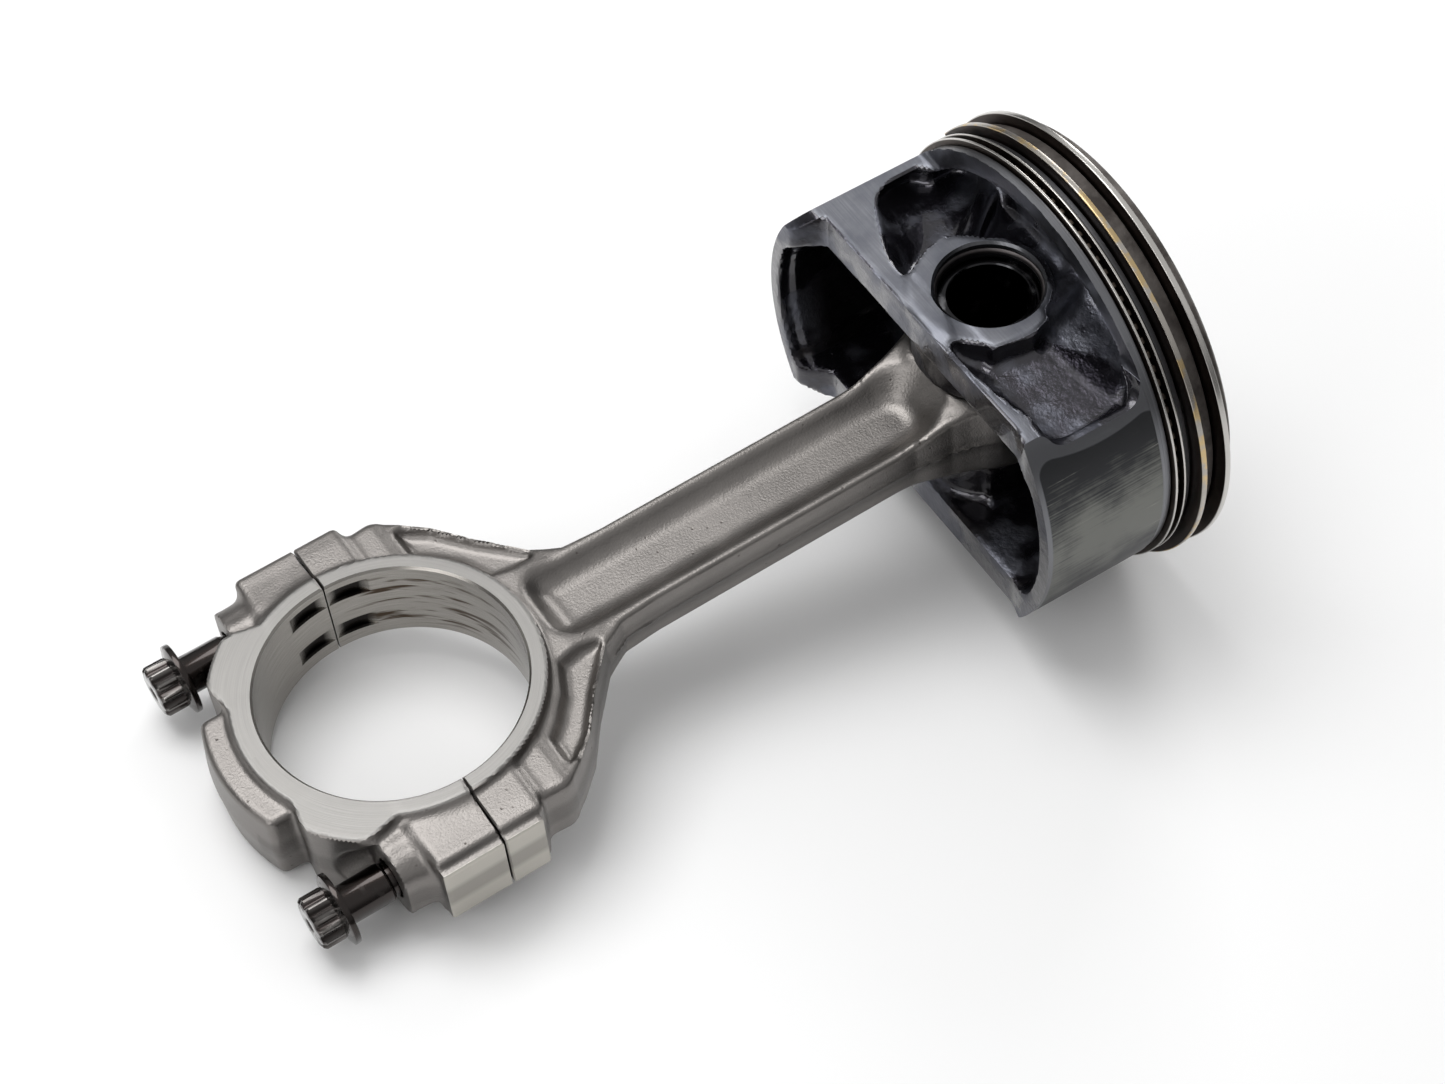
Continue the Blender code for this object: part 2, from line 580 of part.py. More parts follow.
def strut(name, angle, face, parent):
    """Slanted rib across a side pocket, from the boss to the ring belt."""
    start = BOSS_R - 3.0 * MM
    end = BELT_BACK_R
    half = 0.5 * STRUT_WIDTH
    across = (-math.sin(angle), math.cos(angle))
    along = (math.cos(angle), math.sin(angle))
    reach = min(end, (POCKET_ROOF + 1.0 * MM) / math.cos(angle))
    corners = []
    for distance, side in ((start, -half), (reach, -half), (reach, half), (start, half)):
        corners.append((distance * along[0] + side * across[0],
                        distance * along[1] + side * across[1]))
    low = face * (POCKET_FLOOR - 1.0 * MM)
    high = face * (POCKET_FLOOR + STRUT_RISE)
    return add_object(name, prism(corners, low, high), parent)


def make_piston(parent, finish):
    """Box-walled slipper piston: crown, ring belt, two skirts, two bosses."""
    piston = add_object("piston", piston_blank(), parent, finish)
    inside = SKIRT_R - SKIRT_WALL
    roof = CROWN_HEIGHT - CROWN_THICK
    below = SKIRT_LEFT_LOW - 2.0 * PAST
    side = math.asin(WALL_IN / inside)
    hollow = arc((0.0, 0.0), inside, -side, side, 13)
    hollow += arc((0.0, 0.0), inside, math.pi - side, math.pi + side, 13)
    combine(piston, add_object("hollow_cutter", prism(hollow, below, roof, along="X"), parent),
            "DIFFERENCE")
    for face in (1, -1):
        low, high = sorted((face * BOSS_FACE, face * 2.0 * SKIRT_R))
        slab = block((below, -BEYOND, low), (BELT_LOW, BEYOND, high))
        combine(piston, add_object(f"side_cutter_{face}", slab, parent), "DIFFERENCE")
        low, high = sorted((face * (WALL_IN - WALL_TRIM_IN), face * 2.0 * SKIRT_R))
        trim = block((below, -WALL_TRIM_HALF, low), (WALL_LOW, WALL_TRIM_HALF, high))
        combine(piston, add_object(f"wall_trim_{face}", trim, parent), "DIFFERENCE")
        segment = [(y, face * z) for y, z in circle_segment(BELT_BACK_R, POCKET_FLOOR)]
        pocket = prism(segment, POCKET_LOW, POCKET_ROOF, along="X")
        combine(piston, add_object(f"side_pocket_{face}", pocket, parent), "DIFFERENCE")
    trim = block((below, -BEYOND, -BEYOND), (SKIRT_RIGHT_LOW, 0.0, BEYOND))
    combine(piston, add_object("short_skirt_trim", trim, parent), "DIFFERENCE")
    boss_in = 0.5 * EYE_WIDTH + BOSS_SIDE_GAP
    for face in (1, -1):
        low, high = sorted((face * boss_in, face * BOSS_FACE))
        boss = disc((0.0, 0.0), BOSS_R, low, high, 48)
        combine(piston, add_object(f"boss_shape_{face}", boss, parent), "UNION")
        low, high = sorted((face * boss_in, face * (POCKET_FLOOR - 0.5 * MM)))
        web = block((0.0, -BOSS_WEB_HALF, low), (roof + 1.0 * MM, BOSS_WEB_HALF, high))
        combine(piston, add_object(f"boss_web_{face}", web, parent), "UNION")
        for i, angle in enumerate(STRUT_ANGLES):
            combine(piston, strut(f"strut_{face}_{i}", angle, face, parent), "UNION")
    bore = PIN_R + GAP
    mid = clip_height()
    half_groove = 0.5 * CLIP_GROOVE_WIDTH
    groove_r = bore + CLIP_OUT + GAP
    edge = BOSS_FACE - BOSS_CHAMFER
    upper = [(mid - half_groove, bore), (mid - half_groove, groove_r),
             (mid + half_groove, groove_r), (mid + half_groove, bore), (edge, bore),
             (BOSS_FACE, bore + BOSS_CHAMFER), (1.4 * BOSS_FACE, bore + BOSS_CHAMFER),
             (1.4 * BOSS_FACE, 0.0)]
    profile = [(-height, radius) for height, radius in reversed(upper)] + upper
    combine(piston, add_object("pin_bore_cutter", turned(profile, "Z", 48), parent), "DIFFERENCE")
    for i, radius in enumerate(VALVE_POCKET_R):
        for face in (1, -1):
            across = VALVE_POCKET_OFFSET if i == 0 else -VALVE_POCKET_OFFSET
            pocket = disc((0.0, 0.0), radius, 0.0, 2.0 * PAST, SMALL_STEPS, along="X")
            tilt = VALVE_TILT if i == 0 else -VALVE_TILT
            bmesh.ops.rotate(pocket, verts=pocket.verts, cent=(0.0, 0.0, 0.0),
                             matrix=Matrix.Rotation(tilt, 3, "Z"))
            place = (CROWN_HEIGHT - VALVE_POCKET_DEPTH, across, face * VALVE_POCKET_OFFSET)
            cutter = add_object(f"valve_cutter_{i}_{face}", pocket, parent, None, place)
            combine(piston, cutter, "DIFFERENCE")
    return piston


# ======================================================================================
# Piston rings
# ======================================================================================
def make_ring(name, low, height, outer, wall, opening, gap_at, parent, finish, shift=(0.0, 0.0)):
    """One open ring of rectangular section round the piston's axis."""
    profile = [(0.0, outer), (0.0, outer - wall), (height, outer - wall), (height, outer)]
    shape = turned(profile, "X", ROUND_STEPS, opening, gap_at)
    return add_object(name, shape, parent, finish, (low, shift[0], shift[1]))


def make_rings(parent, compression, second, oil):
    """Two compression rings and the three-piece oil ring."""
    make_ring("top_compression_ring", TOP_RING_LOW, RING_HEIGHT, RING_R, RING_WALL,
              RING_OPENING, TOP_RING_GAP_AT, parent, compression, RING_SHIFT)
    make_ring("second_compression_ring", SECOND_RING_LOW, RING_HEIGHT, RING_R, RING_WALL,
              RING_OPENING, SECOND_RING_GAP_AT, parent, second, RING_SHIFT)
    expander_low = OIL_RING_LOW + RAIL_HEIGHT + GAP
    upper_low = expander_low + EXPANDER_HEIGHT + GAP
    make_ring("oil_ring_lower_rail", OIL_RING_LOW, RAIL_HEIGHT, RAIL_R, RAIL_WALL,
              RAIL_OPENING, LOWER_RAIL_GAP_AT, parent, oil)
    make_ring("oil_ring_expander", expander_low, EXPANDER_HEIGHT, EXPANDER_R, EXPANDER_WALL,
              RAIL_OPENING, EXPANDER_GAP_AT, parent, oil)
    make_ring("oil_ring_upper_rail", upper_low, RAIL_HEIGHT, RAIL_R, RAIL_WALL,
              RAIL_OPENING, UPPER_RAIL_GAP_AT, parent, oil)


# ======================================================================================
# Laying the assembly down
# ======================================================================================
def points_of(names, frame):
    """All evaluated vertices of some pieces, in the frame of an empty."""
    bpy.context.view_layer.update()
    graph = bpy.context.evaluated_depsgraph_get()
    inverse = np.array(frame.matrix_world.inverted())
    found = []
    for name in names:
        thing = bpy.data.objects[name].evaluated_get(graph)
        mesh = thing.to_mesh()
        flat = np.empty(3 * len(mesh.vertices), dtype=np.float32)
        mesh.vertices.foreach_get("co", flat)
        local = np.c_[flat.reshape(-1, 3), np.ones(len(mesh.vertices))]
        to_frame = inverse @ np.array(thing.matrix_world)
        found.append((local @ to_frame.T)[:, :3])
        thing.to_mesh_clear()
    return np.concatenate(found)


def lay_down(frame, near_names, far_names):
    """Tilt and lift the assembly so both ends touch z = 0, centred on the origin."""
    near = points_of(near_names, frame)
    far = points_of(far_names, frame)
    low, high = 0.0, math.radians(45.0)
    for _ in range(60):
        tilt = 0.5 * (low + high)
        sine, cosine = math.sin(tilt), math.cos(tilt)
        near_low = (near[:, 0] * sine + near[:, 2] * cosine).min()
        far_low = (far[:, 0] * sine + far[:, 2] * cosine).min()
        if far_low < near_low:
            low = tilt
        else:
            high = tilt
    everything = np.concatenate((near, far))
    along = everything[:, 0] * cosine - everything[:, 2] * sine
    height = everything[:, 0] * sine + everything[:, 2] * cosine
    frame.rotation_euler = (0.0, -tilt, 0.0)
    frame.location = (-0.5 * (along.min() + along.max()),
                      -0.5 * (everything[:, 1].min() + everything[:, 1].max()),
                      -height.min())


def build():
    """Make every piece, then lay the assembly on its side."""
    clear_scene()
    forged = material("forged_steel", (0.42, 0.40, 0.38), 0.42, 0.9)
    cast = material("cast_aluminium", (0.10, 0.10, 0.12), 0.38, 0.85)
    dark_steel = material("oiled_black_steel", (0.05, 0.045, 0.045), 0.35, 0.8)
    ground = material("ground_steel", (0.30, 0.30, 0.31), 0.22, 1.0)
    chrome = material("chrome_ring_steel", (0.55, 0.54, 0.52), 0.25, 1.0)
    golden = material("worn_ring_steel", (0.48, 0.44, 0.36), 0.32, 1.0)
    bronze = material("bush_bronze", (0.45, 0.30, 0.14), 0.35, 1.0)
    lying = empty("rod_frame")
    swung = empty("piston_frame", lying, (ROD_CENTRES, 0.0, 0.0), (0.0, 0.0, REST_SWING))
    make_rod(lying, forged)
    make_cap(lying, forged)
    make_bolt("rod_bolt_left", 1, lying, dark_steel)
    make_bolt("rod_bolt_right", -1, lying, dark_steel)
    make_bush(lying, bronze)
    make_piston(swung, cast)
    make_pin(swung, ground)
    make_circlip("circlip_upper", 1, swung, dark_steel)
    make_circlip("circlip_lower", -1, swung, dark_steel)
    make_rings(swung, chrome, golden, chrome)
    rod_side = ["connecting_rod", "rod_cap", "rod_bolt_left", "rod_bolt_right"]
    piston_side = ["piston", "top_compression_ring", "second_compression_ring",
                   "oil_ring_lower_rail", "oil_ring_upper_rail"]
    lay_down(lying, rod_side, piston_side)


build()
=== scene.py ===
"""Engine piston with its rings, wrist pin and connecting rod, lying on a pale surface."""
import json
import math

import bpy
import numpy as np
from mathutils import Matrix, Vector


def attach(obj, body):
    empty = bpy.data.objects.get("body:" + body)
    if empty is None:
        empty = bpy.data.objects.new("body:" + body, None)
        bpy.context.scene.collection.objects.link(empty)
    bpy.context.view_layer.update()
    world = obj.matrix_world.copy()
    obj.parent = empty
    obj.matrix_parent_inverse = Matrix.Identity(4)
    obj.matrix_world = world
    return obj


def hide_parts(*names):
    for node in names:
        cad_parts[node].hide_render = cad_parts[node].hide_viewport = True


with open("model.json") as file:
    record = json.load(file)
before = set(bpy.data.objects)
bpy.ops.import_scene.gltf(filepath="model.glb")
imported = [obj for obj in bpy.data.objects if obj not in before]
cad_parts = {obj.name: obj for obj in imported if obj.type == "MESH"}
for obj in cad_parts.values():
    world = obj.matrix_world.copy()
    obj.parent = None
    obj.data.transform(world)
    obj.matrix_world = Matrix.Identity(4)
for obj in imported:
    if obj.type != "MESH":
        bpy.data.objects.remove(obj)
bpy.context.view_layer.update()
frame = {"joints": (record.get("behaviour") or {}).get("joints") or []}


# ==================================================
# Table, light and camera: a white table in soft overhead light, seen from above the big end
# and looking down along the rod towards the piston.
# ==================================================
def lamp(name, place, target, size, power):
    """A square area light aimed at a point."""
    light = bpy.data.lights.new(name, "AREA")
    light.size = size
    light.energy = power
    holder = bpy.data.objects.new(name, light)
    bpy.context.scene.collection.objects.link(holder)
    holder.location = place
    holder.rotation_euler = (Vector(target) - Vector(place)).to_track_quat("-Z", "Y").to_euler()


FLOOR_HALF = 4.0
floor_mesh = bpy.data.meshes.new("table_top")
floor_mesh.from_pydata([(-FLOOR_HALF, -FLOOR_HALF, 0.0), (FLOOR_HALF, -FLOOR_HALF, 0.0),
                        (FLOOR_HALF, FLOOR_HALF, 0.0), (-FLOOR_HALF, FLOOR_HALF, 0.0)],
                       [], [(0, 1, 2, 3)])
floor = bpy.data.objects.new("table_top", floor_mesh)
bpy.context.scene.collection.objects.link(floor)
white = bpy.data.materials.new("white_table")
white.use_nodes = True
white.node_tree.nodes["Principled BSDF"].inputs["Base Color"].default_value = (0.9, 0.9, 0.9, 1.0)
white.node_tree.nodes["Principled BSDF"].inputs["Roughness"].default_value = 0.8
floor_mesh.materials.append(white)

room = bpy.data.worlds.new("soft_room")
room.use_nodes = True
tree = room.node_tree
tree.nodes["Background"].inputs["Color"].default_value = (1.0, 1.0, 1.0, 1.0)
height_node = tree.nodes.new("ShaderNodeSeparateXYZ")
tree.links.new(tree.nodes.new("ShaderNodeTexCoord").outputs["Generated"], height_node.inputs["Vector"])
ramp = tree.nodes.new("ShaderNodeMapRange")
ramp.interpolation_type = "SMOOTHSTEP"
ramp.inputs["From Min"].default_value = 0.10
ramp.inputs["From Max"].default_value = 0.75
ramp.inputs["To Min"].default_value = 0.14
ramp.inputs["To Max"].default_value = 0.62
tree.links.new(height_node.outputs["Z"], ramp.inputs["Value"])
tree.links.new(ramp.outputs["Result"], tree.nodes["Background"].inputs["Strength"])
bpy.context.scene.world = room
lamp("overhead_softbox", (-0.25, 0.30, 0.85), (0.0, 0.0, 0.03), 0.6, 5.2)
lamp("window_left", (-0.8, -0.2, 0.45), (0.0, 0.0, 0.03), 0.5, 2.0)
lamp("rim_right", (0.55, 0.45, 0.45), (0.05, 0.0, 0.05), 0.3, 1.5)

CAMERA_PLACE = (-0.26143, -0.31411, 0.46587)
CAMERA_TURN = (42.917, -6.182, -33.730)        # degrees about X, then Y, then Z
camera_data = bpy.data.cameras.new("camera")
camera_data.sensor_width = 36.0
camera_data.lens = 76.18
camera_data.clip_start = 0.01
camera = bpy.data.objects.new("camera", camera_data)
bpy.context.scene.collection.objects.link(camera)
camera.location = CAMERA_PLACE
camera.rotation_euler = [math.radians(angle) for angle in CAMERA_TURN]
bpy.context.scene.camera = camera
bpy.context.scene.view_settings.view_transform = "Standard"


# ==================================================
# Connecting rod: drop-forged and shot-peened steel. The I-beam flares into the small-end eye
# and into the big-end half, whose faces and bore are machined. It is one solid, worked out as
# distances to simple shapes that melt into each other with the forging's fillets.


# ==================================================
# The rod's frame has X from big end to wrist pin and Z along the pin; the piston's has X along
# its own axis. Both come from the joints' axes.
MM = 0.001                             # sizes in this file are in millimetres
ROD_CENTRES = 138.4
joints = {joint["name"]: joint for joint in frame["joints"]}


def frame_from(origin, along_x, along_z):
    """Turning matrix and origin in mm of a piece's own frame, from two of its axes."""
    x = np.array(along_x, dtype=float)
    z = np.array(along_z, dtype=float)
    return np.column_stack((x, np.cross(z, x), z)), np.array(origin, dtype=float) / MM


pin_axis = joints["piston_swing"]["axis"]
pin_place = joints["piston_swing"]["pos_m"]
rod_along = -np.array(joints["cap_slide"]["axis"], dtype=float)
rod_turn, pin_centre = frame_from(pin_place, rod_along, pin_axis)
IN_ROD = (rod_turn, pin_centre - ROD_CENTRES * rod_turn[:, 0])
IN_PISTON = frame_from(pin_place, joints["top_ring_turn"]["axis"], pin_axis)


def give(socket, value):
    """Feeds an input socket: another node's output is linked, a plain value is set."""
    if isinstance(value, bpy.types.NodeSocket):
        socket.id_data.links.new(value, socket)
    elif socket.type == "RGBA":
        socket.default_value = (*value, 1.0)
    else:
        socket.default_value = value


def add_node(tree, kind, settings=None, values=None):
    """A shader node with its settings and what its named inputs are given."""
    made = tree.nodes.new(kind)
    for name, setting in (settings or {}).items():
        setattr(made, name, setting)
    for name, value in (values or {}).items():
        give(made.inputs[name], value)
    return made


def effect(name, inputs, outputs):
    """An empty node group with float, colour or vector sockets; returns it and both its ends."""
    group = bpy.data.node_groups.new(name, "ShaderNodeTree")
    for label, kind, start in inputs:
        socket = group.interface.new_socket(label, in_out="INPUT", socket_type=kind)
        if start is not None:
            socket.default_value = start
    for label, kind in outputs:
        group.interface.new_socket(label, in_out="OUTPUT", socket_type=kind)
    return group, group.nodes.new("NodeGroupInput"), group.nodes.new("NodeGroupOutput")


def noise(tree, place, scale, detail=3.0, rough=0.55):
    """A noise pattern's value socket."""
    made = add_node(tree, "ShaderNodeTexNoise", None,
                    {"Vector": place, "Scale": scale, "Detail": detail, "Roughness": rough})
    return made.outputs["Fac"]


def remap(tree, value, low, high, to_low=0.0, to_high=1.0):
    """A value spread from low..high to another range, clamped."""
    made = add_node(tree, "ShaderNodeMapRange", {"clamp": True},
                    {"Value": value, "From Min": low, "From Max": high,
                     "To Min": to_low, "To Max": to_high})
    return made.outputs["Result"]


def maths(tree, operation, first, second=0.0):
    """One arithmetic step."""
    made = tree.nodes.new("ShaderNodeMath")
    made.operation = operation
    give(made.inputs[0], first)
    give(made.inputs[1], second)
    return made.outputs[0]


def times(tree, first, second):
    """Product of two values."""
    return maths(tree, "MULTIPLY", first, second)


def plus(tree, first, second):
    """Sum of two values."""
    return maths(tree, "ADD", first, second)


def minus(tree, first, second):
    """First value less the second."""
    return maths(tree, "SUBTRACT", first, second)


def size_of(tree, value):
    """Value without its sign."""
    return maths(tree, "ABSOLUTE", value)


def combine(tree, x, y, z=0.0):
    """A vector from three values."""
    return add_node(tree, "ShaderNodeCombineXYZ", None, {"X": x, "Y": y, "Z": z}).outputs["Vector"]


MIX_INPUTS, MIX_OUTPUT = (0, 6, 7), 2  # the colour sockets of a mix node, by number


def mix_colour(tree, share, first, second):
    """First colour where share is 0, second where it is 1."""
    made = tree.nodes.new("ShaderNodeMix")
    made.data_type = "RGBA"
    for number, value in zip(MIX_INPUTS, (share, first, second)):
        give(made.inputs[number], value)
    return made.outputs[MIX_OUTPUT]


def mix_value(tree, share, first, second):
    """First value where share is 0, second where it is 1."""
    return plus(tree, first, times(tree, share, minus(tree, second, first)))


def new_finish(name, own_frame):
    """A material with its Principled shader and its own-frame place in mm, split into X, Y, Z."""
    made = bpy.data.materials.new(name)
    made.use_nodes = True
    tree = made.node_tree
    turn, origin = own_frame
    world = add_node(tree, "ShaderNodeTexCoord").outputs["Object"]
    place = add_node(tree, "ShaderNodeMapping", {"vector_type": "TEXTURE"},
                     {"Vector": world, "Location": tuple(origin * MM),
                      "Rotation": Matrix(turn.tolist()).to_euler(), "Scale": (MM, MM, MM)})
    place = place.outputs["Vector"]
    split = add_node(tree, "ShaderNodeSeparateXYZ", None, {"Vector": place})
    return made, tree, tree.nodes["Principled BSDF"], place, split.outputs


COAT_ROUGHNESS = 0.06


def shine(shader, colour, metallic, roughness, coat=0.0):
    """Gives the shader its colour, metal, roughness and the oil film over them."""
    for name, value in (("Base Color", colour), ("Metallic", metallic), ("Roughness", roughness),
                        ("Coat Weight", coat), ("Coat Roughness", COAT_ROUGHNESS)):
        give(shader.inputs[name], value)


def emboss(tree, shader, height, strength, distance):
    """Relief in mm worked from a height socket."""
    bump = add_node(tree, "ShaderNodeBump", None, {"Height": height, "Strength": strength,
                                                  "Distance": distance * MM})
    tree.links.new(bump.outputs["Normal"], shader.inputs["Normal"])


# Fine grain and sparse pits, as on shot-peened or sand-cast metal.
grain, grain_in, grain_out = effect(
    "peened_grain",
    [("Place", "NodeSocketVector", None), ("Grain per mm", "NodeSocketFloat", 2.2),
     ("Pits per mm", "NodeSocketFloat", 0.35), ("Pit share", "NodeSocketFloat", 0.12)],
    [("Height", "NodeSocketFloat"), ("Cloud", "NodeSocketFloat"), ("Pits", "NodeSocketFloat")])
fine = noise(grain, grain_in.outputs["Place"], grain_in.outputs["Grain per mm"], 2.0, 0.6)
cloud = noise(grain, grain_in.outputs["Place"], 0.12, 4.0, 0.6)
cells = add_node(grain, "ShaderNodeTexVoronoi", None,
                 {"Vector": grain_in.outputs["Place"], "Scale": grain_in.outputs["Pits per mm"]})
pits = remap(grain, cells.outputs["Distance"], 0.0, grain_in.outputs["Pit share"], 1.0, 0.0)
chosen = add_node(grain, "ShaderNodeSeparateXYZ", None, {"Vector": cells.outputs["Color"]})
pits = times(grain, pits, maths(grain, "GREATER_THAN", chosen.outputs["X"], 0.55))
grain.links.new(minus(grain, fine, pits), grain_out.inputs["Height"])
grain.links.new(cloud, grain_out.inputs["Cloud"])
grain.links.new(pits, grain_out.inputs["Pits"])

# Fine straight or round machining lines: noise squeezed hard along the cut.
lines, lines_in, lines_out = effect(
    "machining_lines",
    [("Place", "NodeSocketVector", None), ("Across", "NodeSocketFloat", 6.0),
     ("Along", "NodeSocketFloat", 0.15)],
    [("Lines", "NodeSocketFloat")])
parts = add_node(lines, "ShaderNodeSeparateXYZ", None, {"Vector": lines_in.outputs["Place"]})
squeezed = combine(lines, times(lines, parts.outputs["X"], lines_in.outputs["Across"]),
                   times(lines, parts.outputs["Y"], lines_in.outputs["Along"]),
                   times(lines, parts.outputs["Z"], lines_in.outputs["Along"]))
lines.links.new(noise(lines, squeezed, 1.0, 3.0, 0.6), lines_out.inputs["Lines"])

# Oil that lies in patches: a mask with soft edges, from two sizes of noise.
oil, oil_in, oil_out = effect(
    "oil_patches",
    [("Place", "NodeSocketVector", None), ("Per mm", "NodeSocketFloat", 0.08),
     ("Cover", "NodeSocketFloat", 0.5)],
    [("Mask", "NodeSocketFloat"), ("Swell", "NodeSocketFloat")])
wide = noise(oil, oil_in.outputs["Place"], oil_in.outputs["Per mm"], 3.0, 0.55)
edge = minus(oil, 1.0, oil_in.outputs["Cover"])
oil.links.new(remap(oil, wide, minus(oil, edge, 0.06), plus(oil, edge, 0.06)),
              oil_out.inputs["Mask"])
oil.links.new(noise(oil, oil_in.outputs["Place"], 0.35, 2.0, 0.5), oil_out.inputs["Swell"])


def use(tree, group, values):
    """Place a shared effect in a material."""
    made = add_node(tree, "ShaderNodeGroup", {"node_tree": group}, values)
    return made.outputs


def cut_lines(tree, place, across, along):
    """Machining lines at a place."""
    return use(tree, lines, {"Place": place, "Across": across, "Along": along})["Lines"]


def two_tone(tree, pattern, dark, light):
    """One colour run into another by the middle of a pattern's range."""
    return mix_colour(tree, remap(tree, pattern, 0.3, 0.7), dark, light)


def scaled(colour, factor):
    """A colour made lighter or darker."""
    return tuple(factor * value for value in colour)


def length_of(tree, first, second):
    """Square root of the sum of two squares."""
    return maths(tree, "SQRT", plus(tree, times(tree, first, first), times(tree, second, second)))


ARC_RADIUS = 30.0                      # mm, where one unit of polar's angle is one mm of arc


def polar(tree, x, y):
    """Distance from the axis and angle as mm of arc, for turned surfaces."""
    return length_of(tree, x, y), times(tree, maths(tree, "ARCTAN2", y, x), ARC_RADIUS)


FORGED_GREY = (0.185, 0.174, 0.165)
FACED_GREY = (0.205, 0.200, 0.192)
BIG_BORE = 26.0


def forged_finish(name):
    """Satin forged grey with pits; the thrust faces and the side pad are cut brighter, and the vertical sides
    get painted shade.
    """
    made, tree, shader, place, (x, y, z) = new_finish(name, IN_ROD)
    texture = use(tree, grain, {"Place": place})
    height = size_of(tree, z)
    near_ring = maths(tree, "LESS_THAN", x, 40.0)
    faced = times(tree, remap(tree, height, 9.9, 10.02), near_ring)
    pad = remap(tree, y, -40.6, -40.8)
    faced = maths(tree, "MAXIMUM", faced, pad)
    cuts = cut_lines(tree, combine(tree, *polar(tree, x, y), z), 5.0, 0.06)
    grey = two_tone(tree, texture["Cloud"], FORGED_GREY, scaled(FORGED_GREY, 1.22))
    grey = mix_colour(tree, texture["Pits"], grey, (0.06, 0.05, 0.045))
    bright = two_tone(tree, cuts, FACED_GREY, scaled(FACED_GREY, 1.15))
    colour = mix_colour(tree, faced, grey, bright)
    colour = mix_colour(tree, pad, colour, (0.46, 0.44, 0.40))
    # Painted shade: the rod's vertical sides, about the flash line, are painted darker.
    sides = remap(tree, height, 3.2, 1.6)
    sides = times(tree, sides, remap(tree, size_of(tree, y), 9.6, 10.2))
    colour = mix_colour(tree, times(tree, sides, 0.35), colour, (0.05, 0.046, 0.044))
    rough = mix_value(tree, faced, remap(tree, texture["Cloud"], 0.3, 0.7, 0.34, 0.44), 0.42)
    shine(shader, colour, 1.0, rough)
    relief = mix_value(tree, faced, texture["Height"], times(tree, cuts, 0.35))
    emboss(tree, shader, relief, 0.55, 0.12)
    return made


def bore_finish(name):
    """Honed bore: fine lines round the bore, with brown oil run along them on the rod's half; the tang
    notches get painted shade.
    """
    made, tree, shader, _, (x, y, z) = new_finish(name, IN_ROD)
    radius, angle = polar(tree, x, y)
    hone = cut_lines(tree, combine(tree, z, angle), 3.0, 0.10)
    streaks = cut_lines(tree, combine(tree, z, angle), 0.55, 0.045)
    on_rod = remap(tree, x, 1.0, 9.0)
    inner = remap(tree, size_of(tree, z), 8.6, 6.6)
    mask = times(tree, remap(tree, streaks, 0.52, 0.60), times(tree, on_rod, inner))
    steel = two_tone(tree, hone, (0.27, 0.255, 0.235), (0.36, 0.345, 0.32))
    colour = mix_colour(tree, mask, steel, (0.055, 0.038, 0.025))
    # Painted shade: the tang notches, cut deeper than the bore, are painted near-black.
    notch = remap(tree, radius, BIG_BORE + 0.25, BIG_BORE + 0.8)
    notch = times(tree, notch, remap(tree, size_of(tree, z), 9.3, 9.1))
    colour = mix_colour(tree, notch, colour, (0.012, 0.010, 0.009))
    shine(shader, colour, 1.0, mix_value(tree, mask, 0.27, 0.16))
    emboss(tree, shader, hone, 0.25, 0.03)
    return made


forged = forged_finish("forged_steel")
bored = bore_finish("honed_steel")


def add_piece(name, points, faces, own_frame, materials, caps=(), picks=None, sharp=35.0):
    """A mesh in world metres from own-frame points, an array of quads and many-sided caps."""
    turn, origin = own_frame
    mesh = bpy.data.meshes.new(name)
    mesh.vertices.add(len(points))
    world = (points @ turn.T + origin) * MM
    mesh.vertices.foreach_set("co", world.astype(np.float32).ravel())
    corners = np.concatenate([faces.ravel()] + [np.asarray(cap) for cap in caps])
    lengths = np.concatenate((np.full(len(faces), 4), [len(cap) for cap in caps])).astype(int)
    mesh.loops.add(len(corners))
    mesh.loops.foreach_set("vertex_index", corners.astype(np.int32))
    mesh.polygons.add(len(lengths))
    starts = np.concatenate(([0], np.cumsum(lengths)[:-1]))
    mesh.polygons.foreach_set("loop_start", starts.astype(np.int32))
    for finish in materials:
        mesh.materials.append(finish)
    if picks is not None:
        mesh.polygons.foreach_set("material_index", np.asarray(picks, dtype=np.int32))
    mesh.update(calc_edges=True)
    mesh.validate()
    mesh.shade_smooth()
    mesh.set_sharp_from_angle(angle=math.radians(sharp))
    piece = bpy.data.objects.new(name, mesh)
    bpy.context.scene.collection.objects.link(piece)
    return piece


def melt(first, second, radius):
    """Union with a fillet: the smaller distance, less a parabola where the two are close."""
    near = np.clip(radius - np.abs(first - second), 0.0, None) / radius
    return np.minimum(first, second) - 0.25 * radius * near ** 2


def both(first, second, radius):
    """What lies inside both shapes, with a rounded edge."""
    return -melt(-first, -second, radius)


def cut_from(body, cutter, radius):
    """The body less a cutter, with a rounded edge."""
    return both(body, -cutter, radius)


def outline_distance(points, x, y):
    """Distance to the nearest side of a closed outline, negative inside by the crossing rule."""
    nearest = np.full(np.broadcast(x, y).shape, np.inf)
    inside = np.zeros(nearest.shape, dtype=bool)
    for (ax, ay), (bx, by) in zip(points, points[1:] + points[:1]):
        across, up = bx - ax, by - ay
        share = np.clip(((x - ax) * across + (y - ay) * up) / (across ** 2 + up ** 2), 0.0, 1.0)
        nearest = np.minimum(nearest, (x - ax - share * across) ** 2 + (y - ay - share * up) ** 2)
        if up != 0.0:
            inside ^= ((ay > y) != (by > y)) & (x < across * (y - ay) / up + ax)
    return np.where(inside, -1.0, 1.0) * np.sqrt(nearest)


def plate(flat, height, half, rim):
    """A flat outline's distance carried to a half thickness, with a rounded rim."""
    side = flat + rim
    top = np.abs(height) - half + rim
    outside = np.hypot(np.maximum(side, 0.0), np.maximum(top, 0.0))
    return np.minimum(np.maximum(side, top), 0.0) + outside - rim


